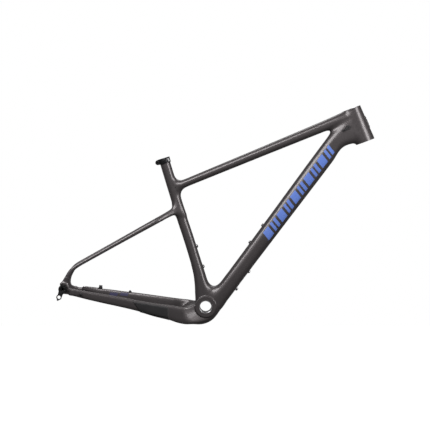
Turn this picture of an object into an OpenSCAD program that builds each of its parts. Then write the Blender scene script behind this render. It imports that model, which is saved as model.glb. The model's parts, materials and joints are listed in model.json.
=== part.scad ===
// Hardtail mountain bicycle frame. Moulded carbon sections are bonded end to end on flat joint
// planes, and carry alloy, steel and rubber fittings.
// Origin: centre of the bottom bracket, on the mid-plane. +X forward, +Y non-drive side, +Z up.

/* [Frame geometry] */
// Bottom bracket centre to rear axle centre
chainstay_length = 430; // [428:1:432]
// Height of the rear axle above the bottom bracket centre
bb_drop = 56; // [55:1:57]
// Bottom bracket centre to head tube top centre, along X
reach = 442; // [438:1:446]
// Bottom bracket centre to head tube top centre, along Z
stack = 596; // [593:1:599]
// Head tube angle from the horizontal, in degrees
head_angle = 69.5; // [69:0.5:70]
// Head tube length
head_length = 108; // [106:1:110]
// Seat tube angle from the horizontal, in degrees
seat_angle = 73.1; // [72.9:0.1:73.3]
// Seat tube top, measured along its axis from the height of the bottom bracket centre
seat_length = 464.5; // [460:0.5:468]
// How far in front of the bottom bracket centre the seat tube's axis passes
seat_offset = 9.2; // [8.9:0.1:9.5]

/* [Tubes] */
// Wall of the moulded carbon tubes
wall = 2; // [1.6:0.1:2.4]
// Sides of each moulded section
tube_sides = 16; // [12:4:20]
// Outside diameter of the seat tube above the stays
seat_tube_od = 31; // [30.8:0.1:31.6]
// Seatpost diameter
seatpost_d = 27.2; // [26.8:0.2:27.2]

/* [Standards] */
// Width of the threaded bottom bracket shell
bb_width = 73; // [68:5:73]
// Bore of the bottom bracket thread
bb_thread_d = 34; // [33.8:0.1:34.4]
// Hub width between the dropouts
hub_width = 148; // [148:1:149]
// Rear axle diameter
axle_d = 12; // [12:0.5:12]
// Upper headset bearing
upper_bearing_d = 41.8; // [41:0.1:42]
// Lower headset bearing
lower_bearing_d = 52; // [51.8:0.1:52.1]
// Spacing of a pair of bottle bosses
boss_spacing = 64; // [62:1:66]
// Spacing of the rear brake's two holes
brake_spacing = 34; // [33:0.5:35]

/* [Hidden] */
$fn = 48;
carbon = [0.27, 0.25, 0.255];
carbon_dark = [0.2, 0.19, 0.195];
black_alloy = [0.09, 0.09, 0.1];
silver = [0.8, 0.8, 0.82];
rubber = [0.07, 0.07, 0.07];
cut = 0.6; // how far a cutting tool runs past the face that it opens
gap = 0.05; // running clearance on a turning part's radius
screw_r = 2.5; // M5

// Axes of the main members. A member is a start point, a unit direction and distances along it.
axle = [-sqrt(pow(chainstay_length, 2) - pow(bb_drop, 2)), 0, bb_drop];
seat_start = [seat_offset, 0, 0];
seat_dir = [-cos(seat_angle), 0, sin(seat_angle)];
head_top = [reach, 0, stack];
head_dir = [cos(head_angle), 0, -sin(head_angle)];
top_start = seat_start + seat_dir * 370.6;
top_end = head_top + head_dir * 17.8;
top_dir = unit(top_end - top_start);
top_length = norm(top_end - top_start);
down_start = [21.7, 0, 0];
down_end = head_top + head_dir * 23.4;
down_dir = unit(down_end - down_start);
down_length = norm(down_end - down_start);

// Joint planes between the moulded sections, as distances along each member
top_low_joint = 46;
top_high_joint = top_length - 94;
down_low_joint = 110;
down_high_joint = down_length - 147;
seat_low_joint = 105;
seat_high_joint = 268;
yoke_joint_x = -38;

// Sections of the straight tubes: distance, width, depth, shift to the outer side, squareness
top_sections = [
    [top_low_joint, 35, 23.4, 0, 2.6],
    [top_length * 0.48, 38, 27, 0, 2.8],
    [top_high_joint, 42, 31.4, 0, 2.8]
];
down_sections = [
    [down_low_joint, 65, 48.4, 0, 2.8],
    [174, 64, 48.8, 0, 2.8],
    [down_length * 0.47, 62, 52, 0, 2.8],
    [down_length * 0.71, 60, 55.6, 0, 2.8],
    [down_high_joint, 59, 56, 0, 2.8]
];
seat_sections = [
    [seat_low_joint, 50, 34.8, -1.7, 2.6],
    [145, 43, 31.8, -2.3, 2.5],
    [185, 38, 31.3, -2.1, 2.4],
    [225, 34, 31.2, -1.6, 2.2],
    [seat_high_joint, seat_tube_od, seat_tube_od, 0, 2]
];

// Sections of the bent stays: centre x, y, z, then width and depth. y is positive here, and the
// drive side is the mirror image.
seatstay_points = [
    [-84, 8, 291, 15, 34], [-98, 16, 284, 14.5, 20], [-115, 24.5, 274.8, 13.5, 16.4],
    [-132, 34, 265.3, 13, 15.6], [-150, 42.5, 255.3, 13, 15], [-190, 49, 233.1, 13, 14],
    [-250, 56.5, 199.8, 13, 12.4], [-320, 66, 160.8, 13, 11.4], [-365, 72.5, 135.8, 13, 10.8],
    [-382, 75, 126, 13, 11], [-393, 76.5, 118, 13, 12], [-402, 77.5, 108.5, 12.5, 12.8],
    [-409, 78.5, 97, 12, 13.8], [-416, 79, 83, 10, 14.6], [-421, 79, 70, 8, 20]
];
seatstay_cluster_end = 3; // the cluster holds the points up to this one
seatstay_dropout_start = 12; // and the dropout holds those from this one on
drive_stay_points = [
    [-28, 30, -23.5, 26, 54], [-52, 38, -27, 20, 50.5], [-75, 42.5, -24.3, 13.5, 49],
    [-105, 43, -16.7, 13, 44.4], [-150, 45.5, -8.4, 14, 38.3], [-200, 51.5, 3.6, 16, 31.3],
    [-250, 59, 15.3, 16, 29.5], [-302, 66.5, 26.2, 15, 27.5], [-350, 73, 36, 14, 24],
    [-385, 78, 44, 12.5, 21.5], [-404, 79, 47, 10, 18.5]
];
nondrive_stay_points = [
    [-28, 30, -18, 26, 66], [-52, 38, -15.5, 20, 66], [-75, 42.5, -10.5, 13.5, 60.5],
    [-105, 43, -3.5, 13, 54], [-150, 45.5, 6.8, 14, 45.5], [-200, 51.5, 16.5, 16, 39],
    [-250, 59, 24.2, 16, 34.5], [-302, 66.5, 32, 15, 31], [-350, 73, 38.2, 14, 25],
    [-385, 78, 42.6, 12.5, 20], [-404, 79, 46, 10, 17.5]
];
stay_yoke_end = 2;
stay_dropout_start = 9;

// Bottom bracket shell
bb_boss_r = 31;
bb_sleeve_r = 20;
belly_r = 57.3;
belly_centre = [-16.5, 0, 3.5];

// Head tube
head_top_r = 23.5;
head_bottom_r = 29;
upper_seat_r = 22;
lower_seat_r = 27.3;
seat_ring_length = 9;
steerer_bore_r = 18;

// Seat clamp, measured along and across the seat tube
clamp_height = 16;
clamp_r = 17.8;
clamp_ear_r = 7.5;
clamp_bolt_offset = -20.6;
clamp_slot = 2.6;
clamp_mid = seat_length + 1 - clamp_height / 2;

// Rear end, outboard from the mid-plane
inner_face = hub_width / 2;
plate_face = inner_face + 7;
rim_face = inner_face + 11;
hanger_head_r = 12.6;
hanger_bolt_r = 8;
hanger_flange_r = 11.5;
axle_washer_r = 11;
hanger_eye = [-10.7, -24];

function unit(v) = v / norm(v);
function signed_power(v, p) = sign(v) * pow(abs(v), p);

// One closed section, square to the direction it is swept in
function section(at, along, wide, deep, squareness) =
    let (side = unit([0, 1, 0] - along * along.y), up = cross(along, side))
    [for (i = [0:tube_sides - 1])
        let (a = (i + 0.5) * 360 / tube_sides)
        at + side * (wide / 2) * signed_power(cos(a), 2 / squareness)
            + up * (deep / 2) * signed_power(sin(a), 2 / squareness)];

// Sections of a straight tube
function straight_rings(start, along, sections, grow = 0) =
    let (up = cross(along, [0, 1, 0]))
    [for (s = sections)
        section(start + along * s[0] + up * s[3], along, s[1] + 2 * grow, s[2] + 2 * grow, s[4])];

// Sections of a bent tube, each square to the line between its neighbours
function bent_rings(points, side, grow = 0) =
    [for (i = [0:len(points) - 1])
        let (p = points[i], b = points[max(i - 1, 0)], f = points[min(i + 1, len(points) - 1)],
             along = unit([f[0] - b[0], side * (f[1] - b[1]), f[2] - b[2]]))
        section([p[0], side * p[1], p[2]], along, p[3] + 2 * grow, p[4] + 2 * grow, 2.5)];

function part_of(list, first, last) = [for (i = [first:last]) list[i]];

// A closed solid through a list of sections
module loft(rings) {
    n = len(rings[0]);
    last = (len(rings) - 1) * n;
    faces = [
        [for (i = [0:n - 1]) i],
        [for (i = [n - 1:-1:0]) last + i],
        for (k = [0:len(rings) - 2], i = [0:n - 1])
            let (a = k * n + i, b = k * n + (i + 1) % n)
            each [[a, a + n, b + n], [a, b + n, b]]
    ];
    polyhedron(points = [for (r = rings) each r], faces = faces, convexity = 4);
}

// Moves the end sections outward along the tube, so that a cavity opens through both ends
function run_past(rings, by) =
    let (n = len(rings) - 1,
         back = unit(middle(rings[0]) - middle(rings[1])) * by,
         on = unit(middle(rings[n]) - middle(rings[n - 1])) * by)
    [for (i = [0:n]) [for (p = rings[i]) p + (i == 0 ? back : (i == n ? on : [0, 0, 0]))]];
function middle(ring) = (ring[0] + ring[len(ring) / 2]) / 2;

module hollow(rings, inner_rings) {
    difference() {
        loft(rings);
        loft(run_past(inner_rings, cut));
    }
}

// Stands a child, drawn along +Z, on a point of a member and turns it along the member's axis.
// Its +X then points forward for the seat tube and the head tube.
module stand_on(start, along, distance, offset = 0) {
    tilt = atan2(along.x, along.z);
    translate(start + along * distance)
        rotate([0, tilt, 0])
            translate([offset, 0, 0]) children();
}

module on_seat_tube(s, offset = 0) {
    stand_on(seat_start, seat_dir, s, offset) children();
}

// +Z up the head tube, from its top face's centre
module on_head_tube(s, offset = 0) {
    stand_on(head_top, -head_dir, -s, offset) children();
}

// Cylinder along Y from y0 to y1
module cross_cylinder(r, y0, y1) {
    translate([0, y0, 0]) rotate([-90, 0, 0]) cylinder(h = y1 - y0, r = r);
}

// Plate in the XZ plane from y0 to y1
module cross_plate(points, y0, y1) {
    translate([0, y1, 0]) rotate([90, 0, 0]) linear_extrude(y1 - y0) polygon(points);
}

function arc(centre, r, from, to, steps) =
    [for (i = [0:steps])
        let (a = from + (to - from) * i / steps) centre + r * [cos(a), sin(a)]];

function head_radius(s) = head_bottom_r - 2.4
    - (head_bottom_r - 2.4 - head_top_r - 0.4) * (head_length - s - 40) / (head_length - 52);

// Half of the head tube's outline, from its bottom up
head_profile = [
    [0, 0], [head_bottom_r, 0], [head_bottom_r, 10], [head_bottom_r - 2.4, 40],
    [head_top_r + 0.4, head_length - 12], [head_top_r, head_length - 6],
    [head_top_r, head_length], [0, head_length]
];

// The down tube's end bends forward into the head tube as it deepens
gusset_corner = [363, 518.5];
function gusset_rings() =
    let (bends = [
        [gusset_start.x, 0, gusset_start.z, 59, 56],
        [gusset_start.x + 25, 0, gusset_start.z + 33.5, 58, 57],
        [gusset_start.x + 47, 0, gusset_start.z + 58, 55, 68],
        [gusset_start.x + 68, 0, gusset_start.z + 72, 50, 88],
        [gusset_start.x + 95, 0, gusset_start.z + 82, 43, 95]
    ])
    [for (i = [0:len(bends) - 1])
        let (p = bends[i], lean = [53.27, 52, 43, 27, 20.5][i])
        section([p[0], 0, p[2]], i == 0 ? down_dir : [cos(lean), 0, sin(lean)], p[3], p[4], 2.8)];
gusset_start = down_start + down_dir * down_high_joint;

module head_tube() {
    core_top = 1.5;
    top_ring = straight_rings(top_start, top_dir, [top_sections[2]]);
    color(carbon) difference() {
        union() {
            on_head_tube(head_length) rotate_extrude() polygon(head_profile);
            hull() {
                joint_slab(top_ring[0], top_dir);
                on_head_tube(50) cylinder(h = 50 - core_top, r = head_top_r - 0.8, $fn = 32);
            }
            loft(gusset_rings());
            cross_plate(concat(
                [[430, 568], [368, 545]], arc(gusset_corner, 8.5, 55, -40, 5), [[356, 495], [440, 500]]
            ), -19, 19);
        }
        on_head_tube(head_length + cut) cylinder(h = head_length + 2 * cut, r = steerer_bore_r);
        on_head_tube(seat_ring_length) cylinder(h = seat_ring_length + cut, r = upper_seat_r);
        on_head_tube(head_length + cut) cylinder(h = seat_ring_length + cut, r = lower_seat_r);
        on_head_tube(head_length - seat_ring_length)
            cylinder(h = 40, r1 = lower_seat_r - 3, r2 = steerer_bore_r);
        loft(straight_rings(top_start, top_dir, [
            [top_high_joint - cut, 42, 31.4, 0, 2.8], [top_high_joint + 42, 38, 28, 2, 2.4]
        ], -wall));
        loft(straight_rings(down_start, down_dir, [
            [down_high_joint - cut, 59, 56, 0, 2.8], [down_high_joint + 62, 44, 46, -2, 2.4]
        ], -wall));
    }
}

// A thin slice at a joint plane, for hulling a moulding out of a tube's own section
module joint_slab(ring, along) {
    loft([ring, [for (p = ring) p + along * 0.4]]);
}

module top_tube() {
    color(carbon) hollow(
        straight_rings(top_start, top_dir, top_sections),
        straight_rings(top_start, top_dir, top_sections, -wall)
    );
}

module down_tube() {
    color(carbon) difference() {
        hollow(
            straight_rings(down_start, down_dir, down_sections),
            straight_rings(down_start, down_dir, down_sections, -wall)
        );
        for (s = down_boss_places) on_down_tube(s, down_boss_height) boss_hole();
        on_under_tube(1) boss_hole();
    }
}

module seat_tube() {
    color(carbon) difference() {
        hollow(
            straight_rings(seat_start, seat_dir, seat_sections),
            straight_rings(seat_start, seat_dir, seat_sections, -wall)
        );
        for (i = [0, 1]) on_seat_front(i) boss_hole();
    }
}

module seat_cluster() {
    valley = [-73, 400];
    r = seat_tube_od / 2;
    flare = [
        [8, 25, 64, 2, 2.2], [14, 27, 54, 3, 2.3], [22, 30, 36, 2.5, 2.4], [31, 33, 27, 0, 2.5],
        top_sections[0]
    ];
    color(carbon) difference() {
        union() {
            on_seat_tube(seat_high_joint) cylinder(h = seat_length - seat_high_joint, r = r);
            loft(straight_rings(top_start, top_dir, flare));
            cross_plate(concat(arc(valley, 20.5, 196, 278, 6), [[-62, 368], [-94, 374]]), -11, 11);
            for (side = [-1, 1])
                loft(part_of(bent_rings(seatstay_points, side), 0, seatstay_cluster_end));
        }
        on_seat_tube(seat_high_joint - cut)
            cylinder(h = seat_length - seat_high_joint + 2 * cut, r = seatpost_d / 2);
        loft(straight_rings(top_start, top_dir, [
            [26, 30, 24, 0, 2.4], [top_low_joint + cut, 35, 23.4, 0, 2.6]
        ], -wall));
        on_seat_tube(seat_length - 26) translate([-r - 2, -clamp_slot / 2, 0])
            cube([8, clamp_slot, 26 + cut]);
    }
}

module bottom_bracket_shell() {
    half = bb_width / 2;
    valley = [23, 73];
    color(carbon) difference() {
        union() {
            cross_cylinder(bb_boss_r, -half, half);
            intersection() {
                translate(belly_centre) cross_cylinder(belly_r, -30, 30);
                cross_plate([
                    [60, -60], [60, 12], [20, 20], [-25, 32], [yoke_joint_x, 14], [yoke_joint_x, -60]
                ], -31, 31);
            }
            loft(straight_rings(seat_start, seat_dir, [
                [5, 56, 60, 6, 2.8], [40, 56, 55, 3.2, 2.8], [72, 54, 40.5, 1.5, 2.7], seat_sections[0]
            ]));
            loft(straight_rings(down_start, down_dir, [
                [2, 60, 55, -2, 2.8], [60, 64, 52, -1.6, 2.8], down_sections[0]
            ]));
            cross_plate(concat([[-20, 20], [4, 76]], arc(valley, 18, 190, 325, 7), [[60, 40], [40, 10]]),
                -23, 23);
        }
        cross_cylinder(bb_sleeve_r, -half - cut, half + cut);
        translate([-100 + yoke_joint_x, -50, -100]) cube([100, 100, 200]);
        loft(straight_rings(seat_start, seat_dir, [
            [44, 50, 40, 0, 2.6], [seat_low_joint + cut, 50, 34.8, -1.7, 2.6]
        ], -wall - 1));
        loft(straight_rings(down_start, down_dir, [
            [36, 56, 44, 0, 2.6], [down_low_joint + cut, 65, 48.4, 0, 2.8]
        ], -wall - 1));
        on_under_tube(0) boss_hole();
    }
}

module chainstay_yoke() {
    tyre_room_r = 374;
    color(carbon) difference() {
        union() {
            loft(part_of(bent_rings(drive_stay_points, -1), 0, stay_yoke_end));
            loft(part_of(bent_rings(nondrive_stay_points, 1), 0, stay_yoke_end));
            cross_plate([
                [yoke_joint_x + 4, -51], [yoke_joint_x - 14, -49], [yoke_joint_x - 14, 4],
                [yoke_joint_x + 4, 8]
            ], -32, 32);
        }
        translate([yoke_joint_x, -60, -80]) cube([80, 120, 140]);
        translate(axle) cross_cylinder(tyre_room_r, -33, 33, $fn = 96);
    }
}

module chainstay(points, side) {
    hollow(
        part_of(bent_rings(points, side), stay_yoke_end, stay_dropout_start),
        part_of(bent_rings(points, side, -wall), stay_yoke_end, stay_dropout_start)
    );
}

module chainstay_drive() {
    color(carbon) difference() {
        chainstay(drive_stay_points, -1);
        shift_exit() grommet_seat(3.4, 4.6);
    }
}

module chainstay_nondrive() {
    color(carbon) difference() {
        union() {
            chainstay(nondrive_stay_points, 1);
            brake_pad() translate([-22, -7, -9]) cube([46, 14, 9]);
        }
        brake_pad() for (x = brake_holes) translate([x, 0, -40]) cylinder(h = 50, r = 4.5);
        hose_exit() grommet_seat(3.6, 5);
    }
}

module seatstay(side) {
    first = seatstay_cluster_end;
    last = seatstay_dropout_start;
    hollow(
        part_of(bent_rings(seatstay_points, side), first, last),
        part_of(bent_rings(seatstay_points, side, -1.6), first, last)
    );
}

module seatstay_drive() {
    color(carbon) seatstay(-1);
}

module seatstay_nondrive() {
    color(carbon) seatstay(1);
}

// Outline of a dropout plate around the axle, in the XZ plane
function dropout_outline() = [for (p = [
    [3.5, 31], [-3.5, 18], [-9.5, 5], [-11.5, -4], [-6, -11], [2, -14.5], [17, -16], [32, -13],
    [34, -2], [27, -1.5], [20.5, 2], [16.5, 8], [14.5, 16], [15, 30]
]) [axle.x + p[0], axle.z + p[1]]];

module dropout_body(points, side) {
    last = len(points) - 1;
    union() {
        if (side > 0) cross_plate(dropout_outline(), inner_face, plate_face);
        if (side < 0) cross_plate(dropout_outline(), -plate_face, -inner_face);
        loft(part_of(bent_rings(points, side), stay_dropout_start, last));
        loft(part_of(bent_rings(seatstay_points, side), seatstay_dropout_start,
            len(seatstay_points) - 1));
    }
}

module dropout_drive() {
    recess_r = hanger_head_r + 1;
    rim_r = recess_r + 4;
    color(carbon_dark) difference() {
        union() {
            dropout_body(drive_stay_points, -1);
            translate(axle) intersection() {
                cross_cylinder(rim_r, -rim_face, -plate_face + cut);
                cross_plate([[0, 0], [30, -12], [40, 40], [-6, 30]], -rim_face - 1, -inner_face);
            }
        }
        translate(axle) {
            cross_cylinder(hanger_bolt_r + gap * 2, -100, -inner_face + cut);
            cross_cylinder(recess_r, -100, -plate_face);
            cross_cylinder(hanger_flange_r + 0.5, -inner_face - 3.1, -60);
            cross_plate([[0, 0], [-40, 16], [-40, -40], [12, -40]], -100, -plate_face);
        }
    }
}

module dropout_nondrive() {
    color(carbon_dark) difference() {
        dropout_body(nondrive_stay_points, 1);
        translate(axle) {
            cross_cylinder(axle_d / 2 + 0.1, 60, 100);
            cross_cylinder(axle_washer_r + 0.4, plate_face - 1.5, 100);
        }
    }
}

module bb_thread_sleeve() {
    half = bb_width / 2;
    color(silver) difference() {
        cross_cylinder(bb_sleeve_r, -half, half);
        cross_cylinder(bb_thread_d / 2, -half - cut, half + cut);
    }
}

module upper_bearing_seat() {
    color(silver) on_head_tube(seat_ring_length) difference() {
        cylinder(h = seat_ring_length, r = upper_seat_r);
        translate([0, 0, -cut]) cylinder(h = seat_ring_length + 2 * cut, r = upper_seat_r - 3);
        translate([0, 0, 2]) cylinder(h = seat_ring_length, r = upper_bearing_d / 2);
    }
}

module lower_bearing_seat() {
    color(silver) on_head_tube(head_length) difference() {
        cylinder(h = seat_ring_length, r = lower_seat_r);
        translate([0, 0, -cut]) cylinder(h = seat_ring_length + 2 * cut, r = lower_seat_r - 4);
        translate([0, 0, -cut])
            cylinder(h = seat_ring_length - 2 + cut, r = lower_bearing_d / 2);
    }
}

// The band is split at the back, between two ears that the bolt draws together
module seat_clamp_collar() {
    ear_half = 9.5;
    color(black_alloy) on_seat_tube(clamp_mid) difference() {
        union() {
            translate([0, 0, -clamp_height / 2]) cylinder(h = clamp_height, r = clamp_r);
            translate([clamp_bolt_offset, 0, 0]) cross_cylinder(clamp_ear_r, -ear_half, ear_half);
            translate([clamp_bolt_offset, -ear_half, -clamp_ear_r])
                cube([9, 2 * ear_half, 2 * clamp_ear_r]);
        }
        translate([0, 0, -clamp_height]) cylinder(h = 2 * clamp_height, r = seat_tube_od / 2 + gap);
        translate([-40, -clamp_slot / 2, -20]) cube([30, clamp_slot, 40]);
        translate([clamp_bolt_offset, 0, 0]) {
            cross_cylinder(screw_r + gap, -20, 20);
            cross_cylinder(4.8, -20, -ear_half + 3);
            cross_cylinder(4, 4, ear_half + 1);
        }
    }
}

module seat_clamp_barrel() {
    color(silver) on_seat_tube(clamp_mid, clamp_bolt_offset) difference() {
        cross_cylinder(4, 4, 9.5);
        cross_cylinder(screw_r + gap, 3, 11);
    }
}

module seat_clamp_bolt() {
    color(black_alloy) on_seat_tube(clamp_mid, clamp_bolt_offset) difference() {
        union() {
            cross_cylinder(4.4, -10.5, -6.6);
            cross_cylinder(screw_r, -6.8, 9);
        }
        cross_cylinder(2, -11, -8, $fn = 6);
    }
}

// Turns about the axle on its hollow bolt. The eye takes the derailleur's M10 bolt.
module derailleur_hanger() {
    eye_r = 8;
    y0 = -plate_face - 5.5;
    y1 = -plate_face - 0.1;
    color(black_alloy) translate(axle) difference() {
        union() {
            cross_cylinder(hanger_head_r, y0, y1);
            translate([hanger_eye[0], 0, hanger_eye[1]]) cross_cylinder(eye_r, y0 - 1.5, y1);
            cross_plate([
                [-12, 1], [8, -9], [1, -16], [-4, -27], [-16, -22], [-12, -8]
            ], y0, y1);
            cross_plate([[-17, -26], [-7, -29], [-13, -34.6], [-17, -34]], y0, y1);
        }
        cross_cylinder(hanger_bolt_r, y0 - 9, y1 + cut);
        translate([hanger_eye[0], 0, hanger_eye[1]]) cross_cylinder(5, y0 - 9, y1 + cut);
    }
}

module hanger_bolt() {
    color(black_alloy) translate(axle) difference() {
        union() {
            cross_cylinder(hanger_bolt_r, -plate_face - 5.5, -inner_face - 1);
            cross_cylinder(hanger_flange_r, -inner_face - 2, -inner_face);
        }
        cross_cylinder(axle_d / 2 + gap, -100, -60);
    }
}

module hanger_washer() {
    color(silver) translate(axle) difference() {
        cross_cylinder(hanger_flange_r, -inner_face - 3.1, -inner_face - 2.1);
        cross_cylinder(hanger_bolt_r + 2 * gap, -100, -60);
    }
}

// Washer that stays on the axle under its head, and draws out with it
module axle_washer() {
    color(silver) translate(axle) difference() {
        cross_cylinder(axle_washer_r, plate_face - 1.5, plate_face + 1.5);
        cross_cylinder(axle_d / 2 + gap, 60, 100);
    }
}

module thru_axle() {
    head_face = plate_face + 6.5;
    color(black_alloy) translate(axle) difference() {
        union() {
            cross_cylinder(axle_d / 2, -plate_face - 4.5, plate_face + 3);
            cross_cylinder(9.5, plate_face + 1.5, head_face);
        }
        cross_cylinder(3.4, head_face - 6, head_face + 1, $fn = 6);
        cross_cylinder(3.5, -plate_face - 5, plate_face - 8);
    }
}

// Bottle bosses: pairs of flanged threaded inserts, closed by low round-headed bolts
down_boss_places = [253 - boss_spacing / 2, 253 + boss_spacing / 2];
down_boss_height = 25.2;
under_boss_places = [84, 84 + boss_spacing];
under_boss_heights = [-25.9, -24.1];
seat_boss_places = [119.5, 119.5 + boss_spacing];
seat_boss_heights = [18.6, 17.6];

module on_down_tube(s, height) {
    up = [-down_dir.z, 0, down_dir.x];
    translate(down_start + down_dir * s + up * height)
        rotate([0, atan2(up.x, up.z), 0]) children();
}

module on_under_tube(i) {
    on_down_tube(under_boss_places[i], under_boss_heights[i]) mirror([0, 0, 1]) children();
}

module on_seat_front(i) {
    forward = [seat_dir.z, 0, -seat_dir.x];
    translate(seat_start + seat_dir * seat_boss_places[i] + forward * seat_boss_heights[i])
        rotate([0, atan2(forward.x, forward.z), 0]) children();
}

module boss_hole() {
    translate([0, 0, -12]) cylinder(h = 20, r = 3.6);
}

module boss_insert() {
    difference() {
        union() {
            translate([0, 0, -9]) cylinder(h = 10, r = 3.6);
            cylinder(h = 1.6, r = 5.5);
        }
        translate([0, 0, -12]) cylinder(h = 20, r = screw_r);
    }
}

module boss_bolt() {
    difference() {
        union() {
            translate([0, 0, -8]) cylinder(h = 10, r = screw_r);
            translate([0, 0, 1.6]) cylinder(h = 1.2, r = 4.6);
            translate([0, 0, 2.8]) cylinder(h = 1.4, r1 = 4.6, r2 = 3);
        }
        translate([0, 0, 2]) cylinder(h = 4, r = 1.7, $fn = 6);
    }
}

module down_tube_inserts() {
    color(silver) for (s = down_boss_places) on_down_tube(s, down_boss_height) boss_insert();
}

module down_tube_bolts() {
    color(black_alloy) for (s = down_boss_places) on_down_tube(s, down_boss_height) boss_bolt();
}

module seat_tube_inserts() {
    color(silver) for (i = [0, 1]) on_seat_front(i) boss_insert();
}

module seat_tube_bolts() {
    color(black_alloy) for (i = [0, 1]) on_seat_front(i) boss_bolt();
}

module under_tube_inserts() {
    color(silver) for (i = [0, 1]) on_under_tube(i) boss_insert();
}

module under_tube_bolts() {
    color(black_alloy) for (i = [0, 1]) on_under_tube(i) boss_bolt();
}

// Cover of the cable entry on each side of the head tube, held by one small screw
port_centre = [422, 0, 535];
port_face = 27.2;
port_lean = 23;
port_yaw = 6.8;

module on_port(side) {
    translate(port_centre + [0, side * port_face, 0]) rotate([0, 0, -side * port_yaw])
        rotate([0, -port_lean, 0]) children();
}

module cable_port(side) {
    color(rubber) on_port(side) difference() {
        cross_plate([[-15, -5], [9, -5], [14, 0], [9, 6], [1, 6], [-4, 1], [-15, 0]], -1.5, 1.5);
        translate([-10, 0, -2.4]) cross_cylinder(1.5, -3, 3);
        translate([6, 0, 0]) cross_cylinder(1.6, -3, 3);
    }
}

module cable_port_drive() {
    cable_port(-1);
}

module cable_port_nondrive() {
    cable_port(1);
}

module port_screws() {
    color(black_alloy) for (side = [-1, 1]) on_port(side) translate([6, 0, 0])
        cross_cylinder(1.6, side < 0 ? -2 : -1.5, side < 0 ? 1.5 : 2);
}

module head_badge() {
    low = 35;
    high = 73;
    color(black_alloy) on_head_tube(head_length) intersection() {
        difference() {
            rotate_extrude() polygon([for (p = head_profile) [p[0] == 0 ? 0 : p[0] + 1.4, p[1]]]);
            rotate_extrude() polygon(head_profile);
        }
        translate([10, -10, low]) cube([40, 20, high - low]);
    }
}

module badge_rivets() {
    color(silver) for (s = [68, 40]) on_head_tube(s)
        translate([head_radius(s) + 1.5, 0, 0]) rotate([0, 90, 0]) cylinder(h = 1, r = 1.4);
}

// Rubber guard on the chain side of the drive chainstay. Its rear end is cut on a slant.
guard_points = [
    [-112, 43.4, -15.4, 17.4, 47.6], [-158, 46.5, -6.5, 18.5, 41.4], [-217, 54, 7.4, 20, 35]
];

module chainstay_guard() {
    color(rubber) difference() {
        loft(bent_rings(guard_points, -1));
        loft(part_of(bent_rings(drive_stay_points, -1), stay_yoke_end, stay_dropout_start - 2));
        translate([-300, -46, -60]) cube([300, 60, 120]);
        cross_plate([
            [-250, -60], [-180, -60], [-184, -16], [-206, 4], [-215, 24], [-250, 40]
        ], -100, 0);
    }
}

// Flat pad for the rear brake, on top of the non-drive chainstay, with two through sleeves
brake_holes = [-brake_spacing / 2, brake_spacing / 2];

module brake_pad() {
    translate([-350, 73.2, 53.6]) rotate([0, 6, 0]) children();
}

module brake_mount_sleeves() {
    color(silver) brake_pad() for (x = brake_holes) translate([x, 0, -30.5]) difference() {
        cylinder(h = 30.5, r = 4.5);
        translate([0, 0, -1]) cylinder(h = 33, r = 2.75);
    }
}

module hose_exit() {
    translate([-229, 55.5, 39.5]) rotate([0, -58, 0]) children();
}

module grommet_seat(r, flange_r) {
    cylinder(h = 16, r = r, center = true);
    cylinder(h = 12, r = flange_r);
}

module brake_hose_grommet() {
    color(rubber) hose_exit() difference() {
        union() {
            translate([0, 0, -4]) cylinder(h = 8, r = 3.6);
            cylinder(h = 3, r = 5);
        }
        translate([0, 0, -8]) cylinder(h = 16, r = 2.5);
    }
}

module brake_hose_clip() {
    color(rubber) translate([-319, 69, 50]) rotate([0, 8, 0]) difference() {
        union() {
            translate([-6, -5, -1]) cube([12, 10, 4]);
            translate([-5, 0, 4.4]) rotate([0, 90, 0]) cylinder(h = 10, r = 4.6);
        }
        translate([-8, 0, 4.4]) rotate([0, 90, 0]) cylinder(h = 20, r = 2.6);
    }
}

module shift_exit() {
    translate([-372, -84, 40.5]) rotate([0, -78, 12]) children();
}

module shift_housing_grommet() {
    color(rubber) shift_exit() difference() {
        union() {
            translate([0, 0, -4]) cylinder(h = 8, r = 3.4);
            cylinder(h = 3, r = 4.6);
        }
        translate([0, 0, -8]) cylinder(h = 16, r = 2.3);
    }
}

head_tube();
top_tube();
down_tube();
seat_tube();
seat_cluster();
bottom_bracket_shell();
chainstay_yoke();
chainstay_drive();
chainstay_nondrive();
seatstay_drive();
seatstay_nondrive();
dropout_drive();
dropout_nondrive();
bb_thread_sleeve();
upper_bearing_seat();
lower_bearing_seat();
seat_clamp_collar();
seat_clamp_barrel();
seat_clamp_bolt();
derailleur_hanger();
hanger_bolt();
hanger_washer();
axle_washer();
thru_axle();
down_tube_inserts();
down_tube_bolts();
seat_tube_inserts();
seat_tube_bolts();
under_tube_inserts();
under_tube_bolts();
cable_port_drive();
cable_port_nondrive();
port_screws();
head_badge();
badge_rivets();
chainstay_guard();
brake_mount_sleeves();
brake_hose_clip();
brake_hose_grommet();
shift_housing_grommet();
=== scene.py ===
import json
import math

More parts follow.
